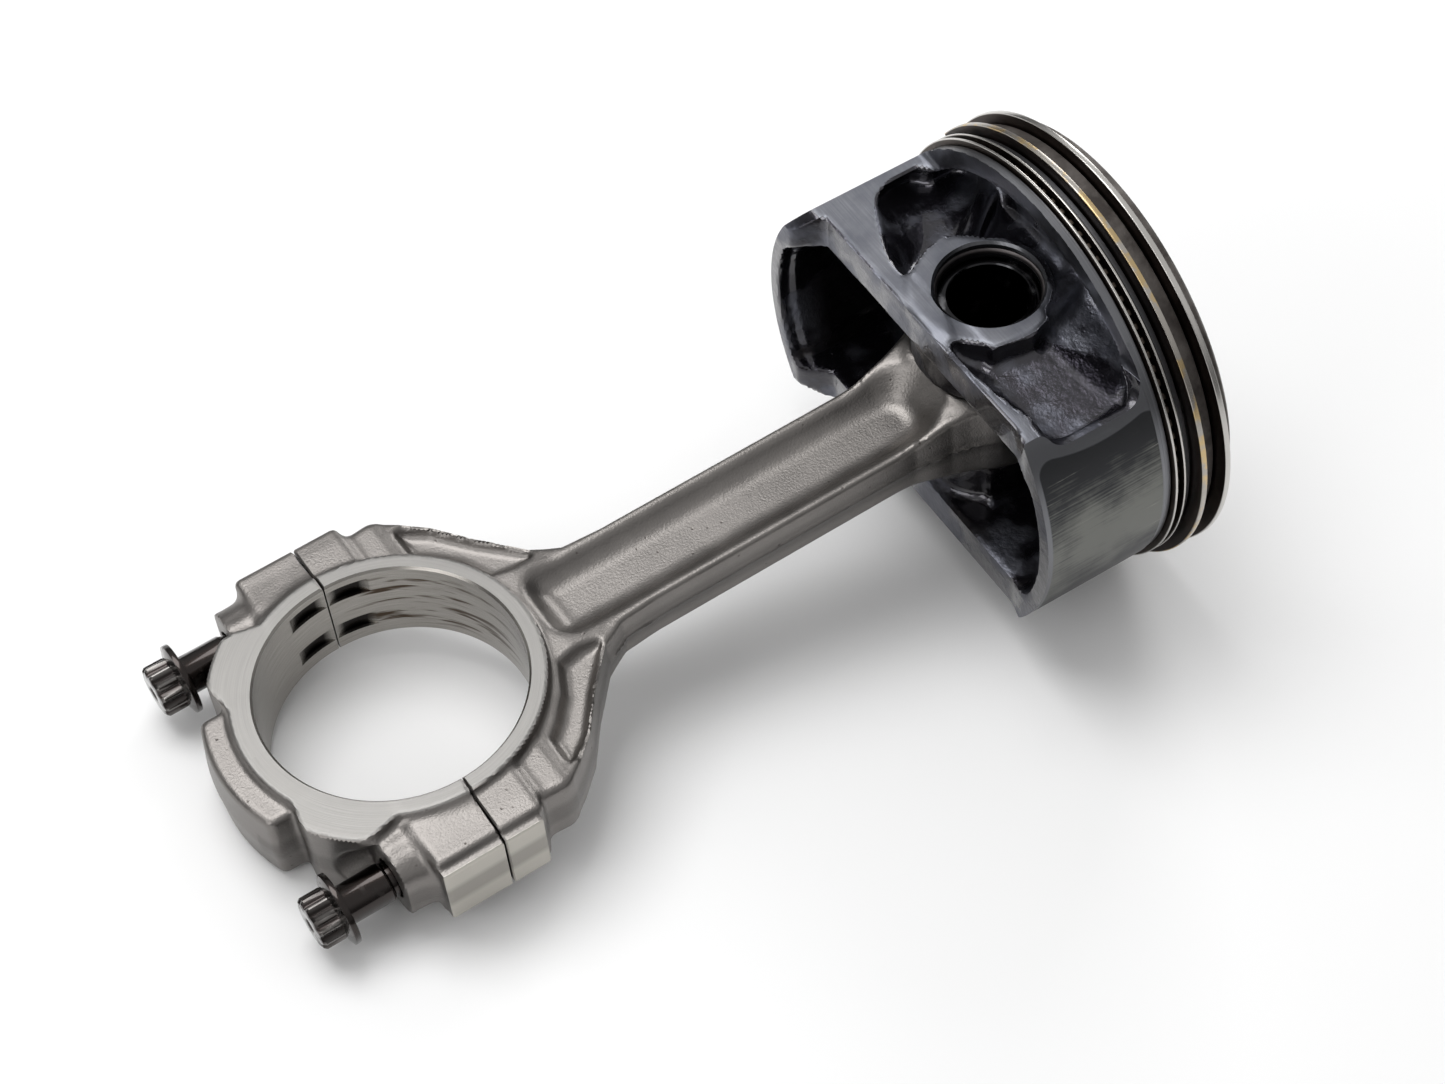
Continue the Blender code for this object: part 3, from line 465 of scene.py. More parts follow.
def box_distance(place, lows, highs, rim):
    """Distance to a box with rounded edges."""
    gaps = [np.maximum(low - value, value - high) + rim
            for value, low, high in zip(place, lows, highs)]
    outside = np.sqrt(sum(np.maximum(gap, 0.0) ** 2 for gap in gaps))
    return np.minimum(np.maximum(np.maximum(gaps[0], gaps[1]), gaps[2]), 0.0) + outside - rim


def ease(value):
    """0 to 1 with level ends."""
    share = np.clip(value, 0.0, 1.0)
    return share * share * (3.0 - 2.0 * share)


def skin(distance, low, high, cell):
    """Points and quads of the closed surface where distance is zero.

    Space is cut into cells. Each cell that the surface passes through gets one point, the
    mean of the crossings on its edges, which then slides along the slope of the distance
    until it lies on the surface. Each grid edge that the surface cuts joins its four cells.
    """
    axes = [np.arange(a, b + cell, cell) for a, b in zip(low, high)]
    spread = (axes[0][:, None, None], axes[1][None, :, None], axes[2][None, None, :])
    shape = [len(axis) for axis in axes]
    field = np.broadcast_to(distance(*spread), shape).astype(np.float32)
    corner = [(i, j, k) for i in (0, 1) for j in (0, 1) for k in (0, 1)]
    size = np.array(shape) - 1
    part = [field[i:i + size[0], j:j + size[1], k:k + size[2]] for i, j, k in corner]
    count = sum((block < 0.0).astype(np.int8) for block in part)
    cells = np.argwhere((count > 0) & (count < 8))
    values = np.stack([block[tuple(cells.T)] for block in part], axis=1)
    total = np.zeros((len(cells), 3))
    hits = np.zeros(len(cells))
    for a in range(8):
        for b in range(a + 1, 8):
            if sum(abs(p - q) for p, q in zip(corner[a], corner[b])) == 1:
                cut = (values[:, a] < 0.0) != (values[:, b] < 0.0)
                share = values[cut, a] / (values[cut, a] - values[cut, b])
                start, end = np.array(corner[a]), np.array(corner[b])
                total[cut] += start + share[:, None] * (end - start)
                hits[cut] += 1.0
    points = np.array(low) + cell * (cells + total / hits[:, None])
    step = 0.05 * cell
    for _ in range(3):
        slope = np.stack([distance(*(points + step * move).T) - distance(*(points - step * move).T)
                          for move in np.eye(3)], axis=1) / (2.0 * step)
        steepness = np.maximum((slope ** 2).sum(axis=1), 0.2)
        shift = -slope * (distance(*points.T) / steepness)[:, None]
        points += np.clip(shift, -0.5 * cell, 0.5 * cell)
    number = np.full(size, -1, dtype=np.int64)
    number[tuple(cells.T)] = np.arange(len(cells))
    inside = field < 0.0
    faces = []
    for axis in range(3):
        first, second = [np.eye(3, dtype=int)[other] for other in range(3) if other != axis]
        crossed = inside != np.roll(inside, -1, axis=axis)
        window = [slice(1, length - 1) for length in shape]
        window[axis] = slice(0, shape[axis] - 1)
        places = np.argwhere(crossed[tuple(window)]) + [entry.start for entry in window]
        ring = (places - first - second, places - second, places, places - first)
        quad = np.stack([number[tuple(entry.T)] for entry in ring], axis=1)
        flip = inside[tuple(places.T)] == (axis == 1)
        quad[flip] = quad[flip][:, ::-1]
        faces.append(quad)
    return points, np.concatenate(faces)


def add_grid(name, grid, own_frame, materials, picks=None, sharp=35.0):
    """A piece from a grid of points that closes on itself along its second direction, capped."""
    rows, columns = grid.shape[:2]
    number = np.arange(rows * columns).reshape(rows, columns)
    ahead = np.roll(number, -1, axis=1)
    quads = np.stack((number[:-1], ahead[:-1], ahead[1:], number[1:]), axis=-1).reshape(-1, 4)
    caps = (number[0][::-1], number[-1])
    return add_piece(name, grid.reshape(-1, 3), quads, own_frame, materials, caps, picks, sharp)


ALONG_X = [2, 0, 1]                    # puts a round body's Z axis on X


def round_body(heights, radii, angles):
    """Grid of points with radii(height, angle) round the Z axis."""
    radii = radii + 0.0 * heights[:, None] + 0.0 * angles[None, :]
    return np.stack((radii * np.cos(angles), radii * np.sin(angles),
                     heights[:, None] + 0.0 * radii), axis=-1)


def carve(target, cutters, operation="DIFFERENCE"):
    """Exact Booleans, applied at once; a cut face takes its cutter's material."""
    for cutter in cutters:
        step = target.modifiers.new("carve", "BOOLEAN")
        step.operation = operation
        step.solver = "EXACT"
        step.material_mode = "TRANSFER"
        step.object = cutter
    bpy.context.view_layer.update()
    graph = bpy.context.evaluated_depsgraph_get()
    mesh = bpy.data.meshes.new_from_object(target.evaluated_get(graph))
    target.modifiers.clear()
    target.data = mesh
    for cutter in cutters:
        bpy.data.objects.remove(cutter, do_unlink=True)
    mesh.shade_smooth()
    mesh.set_sharp_from_angle(angle=math.radians(35.0))


SURFACE_CELL = 0.6
THRUST_RING = 29.6
THRUST_HALF = 10.1
JOINT_HALF = 0.15
EAR_REACH, EAR_HALF, EAR_END = 39.3, 8.6, 9.6
SHOULDER_REACH, SHOULDER_HALF, SHOULDER_END = 36.9, 7.0, 16.6
BEAM_HALF, BEAM_TOP, WEB_TOP = 10.8, 5.6, 2.4
EYE_R, EYE_HALF, BUSH_HOLE = 16.4, 9.6, 12.2
CHANNEL_START, CHANNEL_END, CHANNEL_HALF = 32.4, 122.4, 8.6
PAD_REACH, PAD_HALF = 41.0, 7.3
BOLT_OFFSET, BOLT_HOLE, BOLT_HOLE_END = 31.0, 4.2, 15.0
NOTCH_ROWS, NOTCH_HALF, NOTCH_R, NOTCH_DEPTH = (-4.7, 6.2), 2.0, 7.0, 1.1
NOTCH_ANGLE = math.radians(10.0)
DRAFT = 0.08                           # how much a forged side leans, per mm of height

rod_outline = [(ROD_CENTRES, 15.9), (131.0, 14.9), (127.0, 13.5), (121.0, 11.9),
               (113.0, BEAM_HALF), (52.0, BEAM_HALF), (44.0, 11.4), (38.5, 14.4), (31.5, 22.1),
               (25.6, 29.8), (20.7, 34.2), (17.4, 36.7), (14.6, 37.2), (11.0, 36.4),
               (-3.0, 36.4)]
rod_outline += [(x, -y) for x, y in reversed(rod_outline)]
rim_pocket = [(19.8, 31.4), (24.0, 28.2), (30.0, 20.6), (37.2, 12.9), (34.0, 12.7),
              (29.8, 13.6), (26.8, 19.6), (22.6, 24.4), (19.9, 26.8)]


def channel_distance(x, across):
    """Rectangle between the flanges, rounder at its small-end end."""
    corner = np.where(x > 80.0, 8.2, 5.0)
    side_x = np.abs(x - 0.5 * (CHANNEL_START + CHANNEL_END)) + corner
    side_x = side_x - 0.5 * (CHANNEL_END - CHANNEL_START)
    side_y = across - CHANNEL_HALF + corner
    outside = np.hypot(np.maximum(side_x, 0.0), np.maximum(side_y, 0.0))
    return outside + np.minimum(np.maximum(side_x, side_y), 0.0) - corner


def rod_distance(x, y, z):
    """The forging: outline plate, eye, shoulder, ears and thrust ring, less channel and pockets."""
    across, height = np.abs(y), np.abs(z)
    swell = 3.6 * ease((x - 108.0) / 18.0) + 1.2 * ease((42.0 - x) / 10.0)
    body = plate(outline_distance(rod_outline, x, y) + DRAFT * height, z, BEAM_TOP + swell, 1.0)
    eye = plate(np.hypot(x - ROD_CENTRES, y) - EYE_R + 0.5 * DRAFT * height, z, EYE_HALF, 0.8)
    body = melt(body, eye, 3.0)
    walls = (channel_distance(x, across) + 0.95 * (BEAM_TOP + 0.4 * swell - height)) / 1.38
    body = cut_from(body, both(walls, WEB_TOP - height, 2.0), 0.9)
    rim = (outline_distance(rim_pocket, x, across) - 1.2 + 0.6 * (6.0 - height)) / 1.17
    body = cut_from(body, both(rim, 4.3 - height, 1.0), 0.7)
    flash = plate(outline_distance(rod_outline, x, y) - 0.35, z, 0.30, 0.25)
    body = melt(body, np.maximum(flash, 40.0 - x), 0.4)
    shoulder = box_distance((x, across, height), (-9.0, 20.0, -9.0),
                            (SHOULDER_END, SHOULDER_REACH, SHOULDER_HALF), 1.4)
    body = melt(body, shoulder, 1.8)
    ear = box_distance((x, across, height), (-9.0, 20.0, -9.0), (EAR_END, EAR_REACH, EAR_HALF), 1.3)
    body = melt(body, ear, 2.4)
    ring = plate(np.hypot(x, y) - THRUST_RING, z, THRUST_HALF, 0.45)
    body = melt(body, ring, 1.4)
    pad = box_distance((x, -y, height), (-9.0, 30.0, -9.0), (8.2, PAD_REACH, PAD_HALF), 0.4)
    body = melt(body, pad, 0.5)
    return both(body, JOINT_HALF - x, 0.35)


def bore_cutter(name, radius, half, finish, notch_side=0.0, centre=(0.0, 0.0), chamfer=0.45):
    """Round cutter along Z that flares where it leaves the metal, as a chamfer does.

    A tang notch is a smaller circle whose wall stands beyond the bore's: its wall is where a
    line from the bore's centre leaves that circle.
    """
    levels = [-2.0 * half, -half - chamfer, -half + chamfer]
    for row in NOTCH_ROWS if notch_side else ():
        levels += [row - NOTCH_HALF - 0.01, row - NOTCH_HALF + 0.01,
                   row + NOTCH_HALF - 0.01, row + NOTCH_HALF + 0.01]
    heights = np.array(levels + [half - chamfer, half + chamfer, 2.0 * half])
    angles = np.linspace(0.0, math.tau, 541)[:-1]
    flare = np.clip(np.abs(heights) - half + chamfer, 0.0, 2.0 * chamfer)
    wall = radius + flare[:, None] + 0.0 * angles
    if notch_side:
        turned = angles - 0.5 * math.pi + notch_side * NOTCH_ANGLE
        reach = radius + NOTCH_DEPTH - NOTCH_R
        root = np.sqrt(np.clip(NOTCH_R ** 2 - (reach * np.sin(turned)) ** 2, 0.0, None))
        notch = np.where(np.cos(turned) > 0.5, reach * np.cos(turned) + root, 0.0)
        here = np.any([np.abs(heights - row) < NOTCH_HALF for row in NOTCH_ROWS], axis=0)
        wall = np.where(here[:, None], np.maximum(wall, notch), wall)
    grid = round_body(heights, wall, angles) + np.array((*centre, 0.0))
    return add_grid(name, grid, IN_ROD, [finish])


def hole_cutter(name, low, high, across, finish):
    """Round bolt-hole cutter along X, drilled to a shallow cone at its far end."""
    heights = np.array((low, high, high + 1.6))
    radii = np.array((BOLT_HOLE, BOLT_HOLE, 0.4))[:, None]
    grid = round_body(heights, radii, np.linspace(0.0, math.tau, 61)[:-1])
    grid = grid[:, :, ALONG_X] + np.array((0.0, across, 0.0))
    return add_grid(name, grid, IN_ROD, [finish])


rod_points, rod_faces = skin(rod_distance, (-1.0, -43.0, -11.5), (156.5, 43.0, 11.5), SURFACE_CELL)
rod_piece = add_piece("forged_rod", rod_points, rod_faces, IN_ROD, [forged])
carve(rod_piece, [bore_cutter("rod_bore", BIG_BORE, THRUST_HALF, bored, 1.0),
                  bore_cutter("rod_eye_bore", BUSH_HOLE, EYE_HALF, bored, 0.0, (ROD_CENTRES, 0.0)),
                  hole_cutter("rod_hole_left", -5.0, BOLT_HOLE_END, BOLT_OFFSET, forged),
                  hole_cutter("rod_hole_right", -5.0, BOLT_HOLE_END, -BOLT_OFFSET, forged)])
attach(rod_piece, "rod")
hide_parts("connecting_rod")


# ==================================================
# Bearing cap: forged like the rod and bored with it, then parted at the joint. A machined
# half ring with a stiffening rib outside it and two ears, spot-faced for the bolt heads.
# ==================================================
CAP_RING, LOBE_RISE = 30.8, 4.2
RIB_REACH, RIB_HALF, RIB_TOP = 37.0, 14.5, 8.8
CAP_EAR_END, BOLT_SEAT, BOSS_R, SPOT_FACE_R = -13.2, -19.4, 7.85, 8.2
SCALLOP_X, SCALLOP_Y, SCALLOP_R = -17.6, 42.6, 5.2


def cap_distance(x, y, z):
    """Half ring with two lobes, rib, ears and bolt columns, less spot faces and scallops."""
    across, height = np.abs(y), np.abs(z)
    around = np.degrees(np.arctan2(across, -x))
    reach = CAP_RING + LOBE_RISE * ease((around - 22.0) / 14.0)
    reach = reach - (LOBE_RISE + 1.2) * ease((around - 50.0) / 14.0)
    radius = np.hypot(x, y)
    ring = plate(0.93 * (radius - reach), z, THRUST_HALF, 0.55)
    rib = plate(both(radius - RIB_REACH, across - RIB_HALF, 1.2) + DRAFT * height, z, RIB_TOP, 1.1)
    body = melt(ring, rib, 1.6)
    column = box_distance((x, across, height), (BOLT_SEAT, 12.0, -9.0), (9.0, 31.0, BOSS_R), 1.2)
    boss = both(np.hypot(across - BOLT_OFFSET, z) - BOSS_R, BOLT_SEAT - x, 0.8)
    body = melt(body, melt(column, boss, 1.5), 2.2)
    ear = box_distance((x, across, height), (CAP_EAR_END, 20.0, -9.0), (9.0, EAR_REACH, EAR_HALF), 1.3)
    body = melt(body, ear, 2.2)
    body = cut_from(body, np.hypot(x - SCALLOP_X, across - SCALLOP_Y) - SCALLOP_R, 1.4)
    spot_face = both(np.hypot(across - BOLT_OFFSET, z) - SPOT_FACE_R, x - BOLT_SEAT, 0.3)
    body = cut_from(body, spot_face, 0.5)
    pad = box_distance((x, -y, height), (-13.0, 30.0, -9.0), (9.0, PAD_REACH, PAD_HALF), 0.4)
    body = melt(body, pad, 0.5)
    return both(body, x + JOINT_HALF, 0.35)


cap_points, cap_faces = skin(cap_distance, (-38.5, -43.0, -11.5), (1.0, 43.0, 11.5), SURFACE_CELL)
cap_piece = add_piece("bearing_cap", cap_points, cap_faces, IN_ROD, [forged])
carve(cap_piece, [bore_cutter("cap_bore", BIG_BORE, THRUST_HALF, bored, -1.0),
                  hole_cutter("cap_hole_left", -40.0, 5.0, BOLT_OFFSET, forged),
                  hole_cutter("cap_hole_right", -40.0, 5.0, -BOLT_OFFSET, forged)])
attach(cap_piece, "cap")
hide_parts("rod_cap")


# ==================================================
# Rod bolts: heat-treated steel with a black oxide skin, wet with oil. Forged twelve-point
# head on a round flange, plain shank, rolled thread; each stands 10 mm out of its seat.
# ==================================================
BOLT_OUT = 10.0
FLANGE_R, FLANGE_THICK, FLANGE_GAP = 7.25, 1.7, 0.3
HEAD_TIP, HEAD_ROOT, HEAD_HEIGHT, HEAD_POINTS = 5.3, 4.45, 5.0, 12
SHANK_R, SHANK_NECK_R, BOLT_LENGTH = 3.9, 3.55, 33.8
THREAD_PITCH, THREAD_DEPTH, THREAD_START = 1.25, 0.65, 17.0


def oxide_finish(name):
    """Black oxide under a wet film of oil, rubbed to grey on the head's corners."""
    made, tree, shader, place, (x, y, z) = new_finish(name, IN_ROD)
    texture = use(tree, grain, {"Place": place, "Grain per mm": 3.0})
    film = use(tree, oil, {"Place": place, "Per mm": 0.25, "Cover": 0.62})
    across = minus(tree, size_of(tree, y), BOLT_OFFSET)
    out_r = length_of(tree, across, z)
    on_head = remap(tree, x, BOLT_SEAT - BOLT_OUT - 1.4, BOLT_SEAT - BOLT_OUT - 2.4)
    rubbed = times(tree, on_head, remap(tree, out_r, 4.7, 5.2))
    rubbed = times(tree, rubbed, remap(tree, texture["Cloud"], 0.35, 0.6, 0.35, 1.0))
    dark = mix_colour(tree, film["Mask"], (0.050, 0.045, 0.043), (0.022, 0.016, 0.014))
    colour = mix_colour(tree, rubbed, dark, (0.15, 0.142, 0.135))
    shine(shader, colour, 1.0, mix_value(tree, film["Mask"], 0.42, 0.22),
          times(tree, film["Mask"], 0.6))
    emboss(tree, shader, texture["Height"], 0.3, 0.05)
    return made


def bolt_grid(across):
    """Rows along the bolt from head to tip; the head's radius waves twelve times round.

    A row is (distance from the seat face, radius, share of the head's wave). The thread adds
    a helix: depth times a rounded saw of distance over pitch less the turn about the axis.
    """
    top = -FLANGE_GAP - FLANGE_THICK - HEAD_HEIGHT
    flange = -FLANGE_GAP - FLANGE_THICK
    rows = [(top + 0.5, 0.9, 0.0), (top + 0.5, 1.1, 0.0), (top + 0.08, 1.5, 0.0), (top, 1.7, 0.0),
            (top, 4.0, 0.2), (top + 0.15, HEAD_ROOT - 0.15, 0.6), (top + 0.7, HEAD_ROOT, 1.0),
            (flange - 0.5, HEAD_ROOT, 1.0), (flange - 0.25, HEAD_ROOT + 0.2, 0.6),
            (flange - 0.15, 5.5, 0.0), (flange + 0.35, FLANGE_R - 0.35, 0.0),
            (flange + 0.5, FLANGE_R - 0.05, 0.0), (flange + 0.7, FLANGE_R, 0.0),
            (-FLANGE_GAP - 0.3, FLANGE_R, 0.0), (-FLANGE_GAP - 0.08, FLANGE_R - 0.1, 0.0),
            (-FLANGE_GAP, FLANGE_R - 0.35, 0.0), (-FLANGE_GAP, SHANK_R + 0.9, 0.0),
            (-FLANGE_GAP + 0.3, SHANK_R + 0.15, 0.0), (0.4, SHANK_R, 0.0), (8.6, SHANK_R, 0.0),
            (9.2, SHANK_NECK_R, 0.0), (THREAD_START - 0.8, SHANK_NECK_R, 0.0),
            (THREAD_START, SHANK_R, 0.0)]
    threaded = np.arange(THREAD_START + 0.12, BOLT_LENGTH - 0.9, 0.14)
    rows += [(distance, SHANK_R, 0.0) for distance in threaded]
    rows += [(BOLT_LENGTH - 0.6, SHANK_R - 0.7, 0.0), (BOLT_LENGTH, SHANK_R - 1.1, 0.0)]
    distance, radius, share = np.array(rows).T[:, :, None]
    angles = np.linspace(0.0, math.tau, 169)[:-1]
    wave = np.abs((angles * HEAD_POINTS / math.tau) % 1.0 * 2.0 - 1.0)
    wave = np.clip(1.25 * wave - 0.1, 0.0, 1.0)
    saw = np.abs(((distance / THREAD_PITCH - angles / math.tau) % 1.0) * 2.0 - 1.0)
    ramp = ease((distance - THREAD_START) / 1.5) * ease((BOLT_LENGTH - 0.8 - distance) / 0.8)
    groove = THREAD_DEPTH * ramp * np.clip(1.2 * saw - 0.1, 0.0, 1.0)
    radii = radius + share * (HEAD_TIP - HEAD_ROOT) * wave - groove
    start = BOLT_SEAT - BOLT_OUT
    return np.stack((start + distance + 0.0 * radii, across + radii * np.cos(angles),
                     radii * np.sin(angles)), axis=-1)


oxide = oxide_finish("oiled_black_steel")
for side, across in (("left", BOLT_OFFSET), ("right", -BOLT_OFFSET)):
    bolt = add_grid(f"flanged_bolt_{side}", bolt_grid(across), IN_ROD, [oxide], sharp=28.0)
    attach(bolt, f"bolt_{side}")
    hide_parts(f"rod_bolt_{side}")


# ==================================================
# Piston: one aluminium casting with box walls, two skirts and two pin bosses, blackened inside
# by oil and by painted shade. The outside, the ring grooves, the wall faces and the pin bore are machined.
# ==================================================
SKIRT_R, LAND_R, TOP_LAND_R, CROWN_TOP = 46.0, 45.7, 45.3, 26.5
BELT_LOW, ROOF, INSIDE_R = 9.4, 20.5, 42.7
LEFT_LOW, RIGHT_LOW, WALL_LOW = -22.6, -18.0, -16.8
FACE, WALL_IN, POCKET_FLOOR = 28.1, 19.8, 23.6
POCKET_R, POCKET_ROOF, BOSS_OUT_R, BOSS_IN = 41.4, 17.5, 15.5, 10.5
PIN_BORE, CLIP_GROOVE_R, CLIP_MID, CLIP_GROOVE_HALF = 10.8, 12.05, 25.75, 1.05
GROOVE_ROOT = 41.6
VALVE_OFFSET, VALVE_DEPTH, VALVE_TILT = 19.5, 1.6, math.radians(4.0)
GROOVES = ((11.4, 14.8), (16.0, 17.8), (21.6, 23.4))


def along_strip(x, y, start, end):
    """Distance to a straight line between two points."""
    step = np.array(end) - np.array(start)
    share = np.clip(((x - start[0]) * step[0] + (y - start[1]) * step[1]) / (step @ step), 0.0, 1.0)
    return np.hypot(x - start[0] - share * step[0], y - start[1] - share * step[1])


def piston_distance(x, y, z):
    """Belt and skirts as a thick cup, less the hollow and side pockets, with bosses and struts."""
    height, radius = np.abs(z), np.hypot(y, z)
    belt = both(radius - 49.0, np.abs(x - BELT_LOW - 10.0) - 10.0, 0.4)
    box = both(radius - 49.0, height - FACE, 0.45)
    body = melt(belt, both(box, x - 12.0, 0.4), 2.2)
    hollow = both(radius - INSIDE_R - 0.5 * ease((-19.0 - x) / 0.8), height - WALL_IN, 5.0)
    body = cut_from(body, both(hollow, x - ROOF, 6.0), 0.7)
    low_edge = -12.4 + 6.6 * ease((y - 14.0) / 22.0) - 3.2 * ease((2.0 - y) / 14.0)
    low_edge = low_edge + 2.8 * ease((-y - 12.0) / 26.0)
    slope = 0.10 * np.abs(y) - 0.05 * x
    reach = POCKET_R + 2.4 * ease((9.5 - x) / 4.0)
    pocket = both(radius - reach, POCKET_FLOOR + 1.0 - slope - height, 4.5)
    leaning = 0.75 * (low_edge + 1.1 * (FACE - height) * ease((y - 10.0) / 12.0) - x)
    pocket = both(both(pocket, leaning, 5.0), x - POCKET_ROOF, 4.5)
    body = cut_from(body, pocket, 0.5)
    scoop = both(both(24.7 - height, y + 31.0, 4.0), 0.9 * np.abs(x + 2.0) - 9.9, 4.5)
    body = cut_from(body, scoop, 1.6)
    boss_r = BOSS_OUT_R - 3.0 * ease((x + 1.0) / 8.0)
    boss = plate(np.hypot(x, y) - boss_r, height - 0.5 * (BOSS_IN + FACE), 0.5 * (FACE - BOSS_IN), 0.4)
    saddle = box_distance((x, y, height), (-9.0, -14.2, BOSS_IN), (4.5, 0.0, FACE), 0.5)
    web = box_distance((x, np.abs(y), height), (0.0, -20.0, BOSS_IN), (23.0, 12.0, POCKET_FLOOR - 1.0), 3.0)
    body = melt(body, web, 3.5)
    body = melt(body, melt(boss, saddle, 1.0), 2.6)
    for start, end in (((3.0, 12.5), (18.0, 24.5)), ((7.0, -10.5), (18.0, -5.5))):
        strut = plate(along_strip(x, y, start, end) - 1.9, height - 20.0, 6.4, 1.4)
        body = melt(body, strut, 2.6)
    low = WALL_LOW - (WALL_LOW - LEFT_LOW) * ease((y - 32.0) / 6.0)
    low = low - (WALL_LOW - RIGHT_LOW) * ease((-y - 32.0) / 6.0)
    low = np.maximum(low, LEFT_LOW + 1.15 * np.maximum(height - 24.0, 0.0))
    return both(body, 0.85 * (low - x), 0.5)


def turned_profile(rows, finishes, steps, name, materials, own_frame, turn_about="X"):
    """A closed solid turned from (height, radius) rows; finishes picks a material per band."""
    heights, radii = np.array(rows).T
    grid = round_body(heights, radii[:, None], np.linspace(0.0, math.tau, steps + 1)[:-1])
    if turn_about == "X":
        grid = grid[:, :, ALONG_X]
    picks = np.concatenate((np.repeat(finishes, steps), (finishes[0], finishes[-1])))
    return add_grid(name, grid, own_frame, materials, picks)


def cast_finish(name):
    """Sand-cast aluminium gone blue-grey, with pools of black oil that shine, and painted shade deep inside.
    """
    made, tree, shader, place, (x, _, z) = new_finish(name, IN_PISTON)
    texture = use(tree, grain, {"Place": place, "Grain per mm": 1.3})
    film = use(tree, oil, {"Place": place, "Per mm": 0.07, "Cover": 0.52})
    height = size_of(tree, z)
    faced = times(tree, remap(tree, height, FACE - 0.12, FACE - 0.04), remap(tree, x, 10.0, 9.0))
    cuts = cut_lines(tree, place, 3.5, 0.08)
    # Painted shade: inside the hollow, between the walls and from 12 mm below the pin up to the crown, the
    # casting is painted near-black.
    low_in = remap(tree, height, 20.0, 18.0)
    deep = times(tree, low_in, remap(tree, x, -21.0, -12.0))
    cast = two_tone(tree, texture["Cloud"], (0.085, 0.088, 0.108), (0.16, 0.165, 0.19))
    cast = mix_colour(tree, film["Mask"], cast, (0.030, 0.028, 0.036))
    cast = mix_colour(tree, deep, cast, (0.018, 0.016, 0.018))
    cut_metal = two_tone(tree, cuts, (0.15, 0.155, 0.175), (0.21, 0.215, 0.235))
    cut_metal = mix_colour(tree, remap(tree, texture["Cloud"], 0.35, 0.65), cut_metal, (0.12, 0.125, 0.145))
    colour = mix_colour(tree, faced, cast, cut_metal)
    wet = times(tree, film["Mask"], minus(tree, 1.0, faced))
    rough = mix_value(tree, wet, 0.40, 0.20)
    shine(shader, colour, 0.92, rough, wet)
    relief = plus(tree, texture["Height"], times(tree, film["Swell"], 2.0))
    relief = mix_value(tree, faced, relief, times(tree, cuts, 0.3))
    emboss(tree, shader, relief, 0.6, 0.16)
    return made


def machined_finish(name, dark, light, rough):
    """Turned aluminium: round lines, a little oil."""
    made, tree, shader, place, (x, y, z) = new_finish(name, IN_PISTON)
    radius, angle = polar(tree, y, z)
    cuts = cut_lines(tree, combine(tree, x, angle, radius), 9.0, 0.05)
    film = use(tree, oil, {"Place": place, "Per mm": 0.10, "Cover": 0.3})
    colour = two_tone(tree, cuts, dark, light)
    colour = mix_colour(tree, film["Mask"], colour, scaled(dark, 0.55))
    shine(shader, colour, 0.95, mix_value(tree, film["Mask"], rough, 0.6 * rough))
    emboss(tree, shader, cuts, 0.25, 0.03)
    return made


def skirt_finish(name):
    """Machined skirt with a dark coated panel, worn to silver in the middle and scored lengthwise."""
    made, tree, shader, place, (x, y, z) = new_finish(name, IN_PISTON)
    height = size_of(tree, z)
    from_middle = plus(tree, x, 2.0)
    bow = times(tree, times(tree, from_middle, from_middle), 0.012)
    past_x = minus(tree, size_of(tree, plus(tree, x, 3.1)), 9.8)
    past_z = minus(tree, minus(tree, height, bow), 18.2)
    past_x = maths(tree, "MAXIMUM", past_x, 0.0)
    past_z = maths(tree, "MAXIMUM", past_z, 0.0)
    past = length_of(tree, past_x, past_z)
    panel = remap(tree, past, 4.15, 3.85)
    scores = cut_lines(tree, combine(tree, z, x, y), 2.6, 0.045)
    cloud = noise(tree, place, 0.09, 4.0, 0.6)
    wear = minus(tree, 1.0, times(tree, height, 0.045))
    wear = plus(tree, wear, times(tree, minus(tree, cloud, 0.5), 1.6))
    wear = plus(tree, wear, times(tree, minus(tree, scores, 0.5), 1.3))
    worn = remap(tree, wear, 0.25, 0.85)
    deep = remap(tree, scores, 0.68, 0.74)
    coat = mix_colour(tree, worn, (0.040, 0.041, 0.044), (0.165, 0.168, 0.155))
    coat = mix_colour(tree, times(tree, deep, worn), coat, (0.50, 0.48, 0.44))
    colour = mix_colour(tree, panel, (0.17, 0.173, 0.185), coat)
    shine(shader, colour, 0.9, mix_value(tree, panel, 0.30, 0.42))
    relief = minus(tree, times(tree, panel, 1.2), times(tree, deep, 0.4))
    emboss(tree, shader, relief, 0.6, 0.05)
    return made


def carbon_finish(name):
    """Top land and crown: aluminium under baked brown-grey carbon, thin in places."""
    made, tree, shader, place, _ = new_finish(name, IN_PISTON)
    texture = use(tree, grain, {"Place": place, "Grain per mm": 1.6, "Pit share": 0.2})
    thin = remap(tree, texture["Cloud"], 0.38, 0.66)
    colour = mix_colour(tree, thin, (0.050, 0.042, 0.038), (0.15, 0.135, 0.125))
    shine(shader, colour, 0.55, mix_value(tree, thin, 0.55, 0.42))
    emboss(tree, shader, texture["Height"], 0.6, 0.10)
    return made


cast = cast_finish("cast_aluminium")
skirt_metal = skirt_finish("worn_skirt")
land_metal = machined_finish("turned_aluminium", (0.13, 0.133, 0.145), (0.24, 0.243, 0.255), 0.30)
# Painted shade: the ring grooves, down between the lands and behind the rings, are painted near-black.
groove_metal = machined_finish("dark_groove", (0.030, 0.028, 0.028), (0.07, 0.065, 0.062), 0.34)
carbon = carbon_finish("carboned_aluminium")
bore_metal = machined_finish("oily_pin_bore", (0.07, 0.072, 0.08), (0.13, 0.132, 0.14), 0.26)

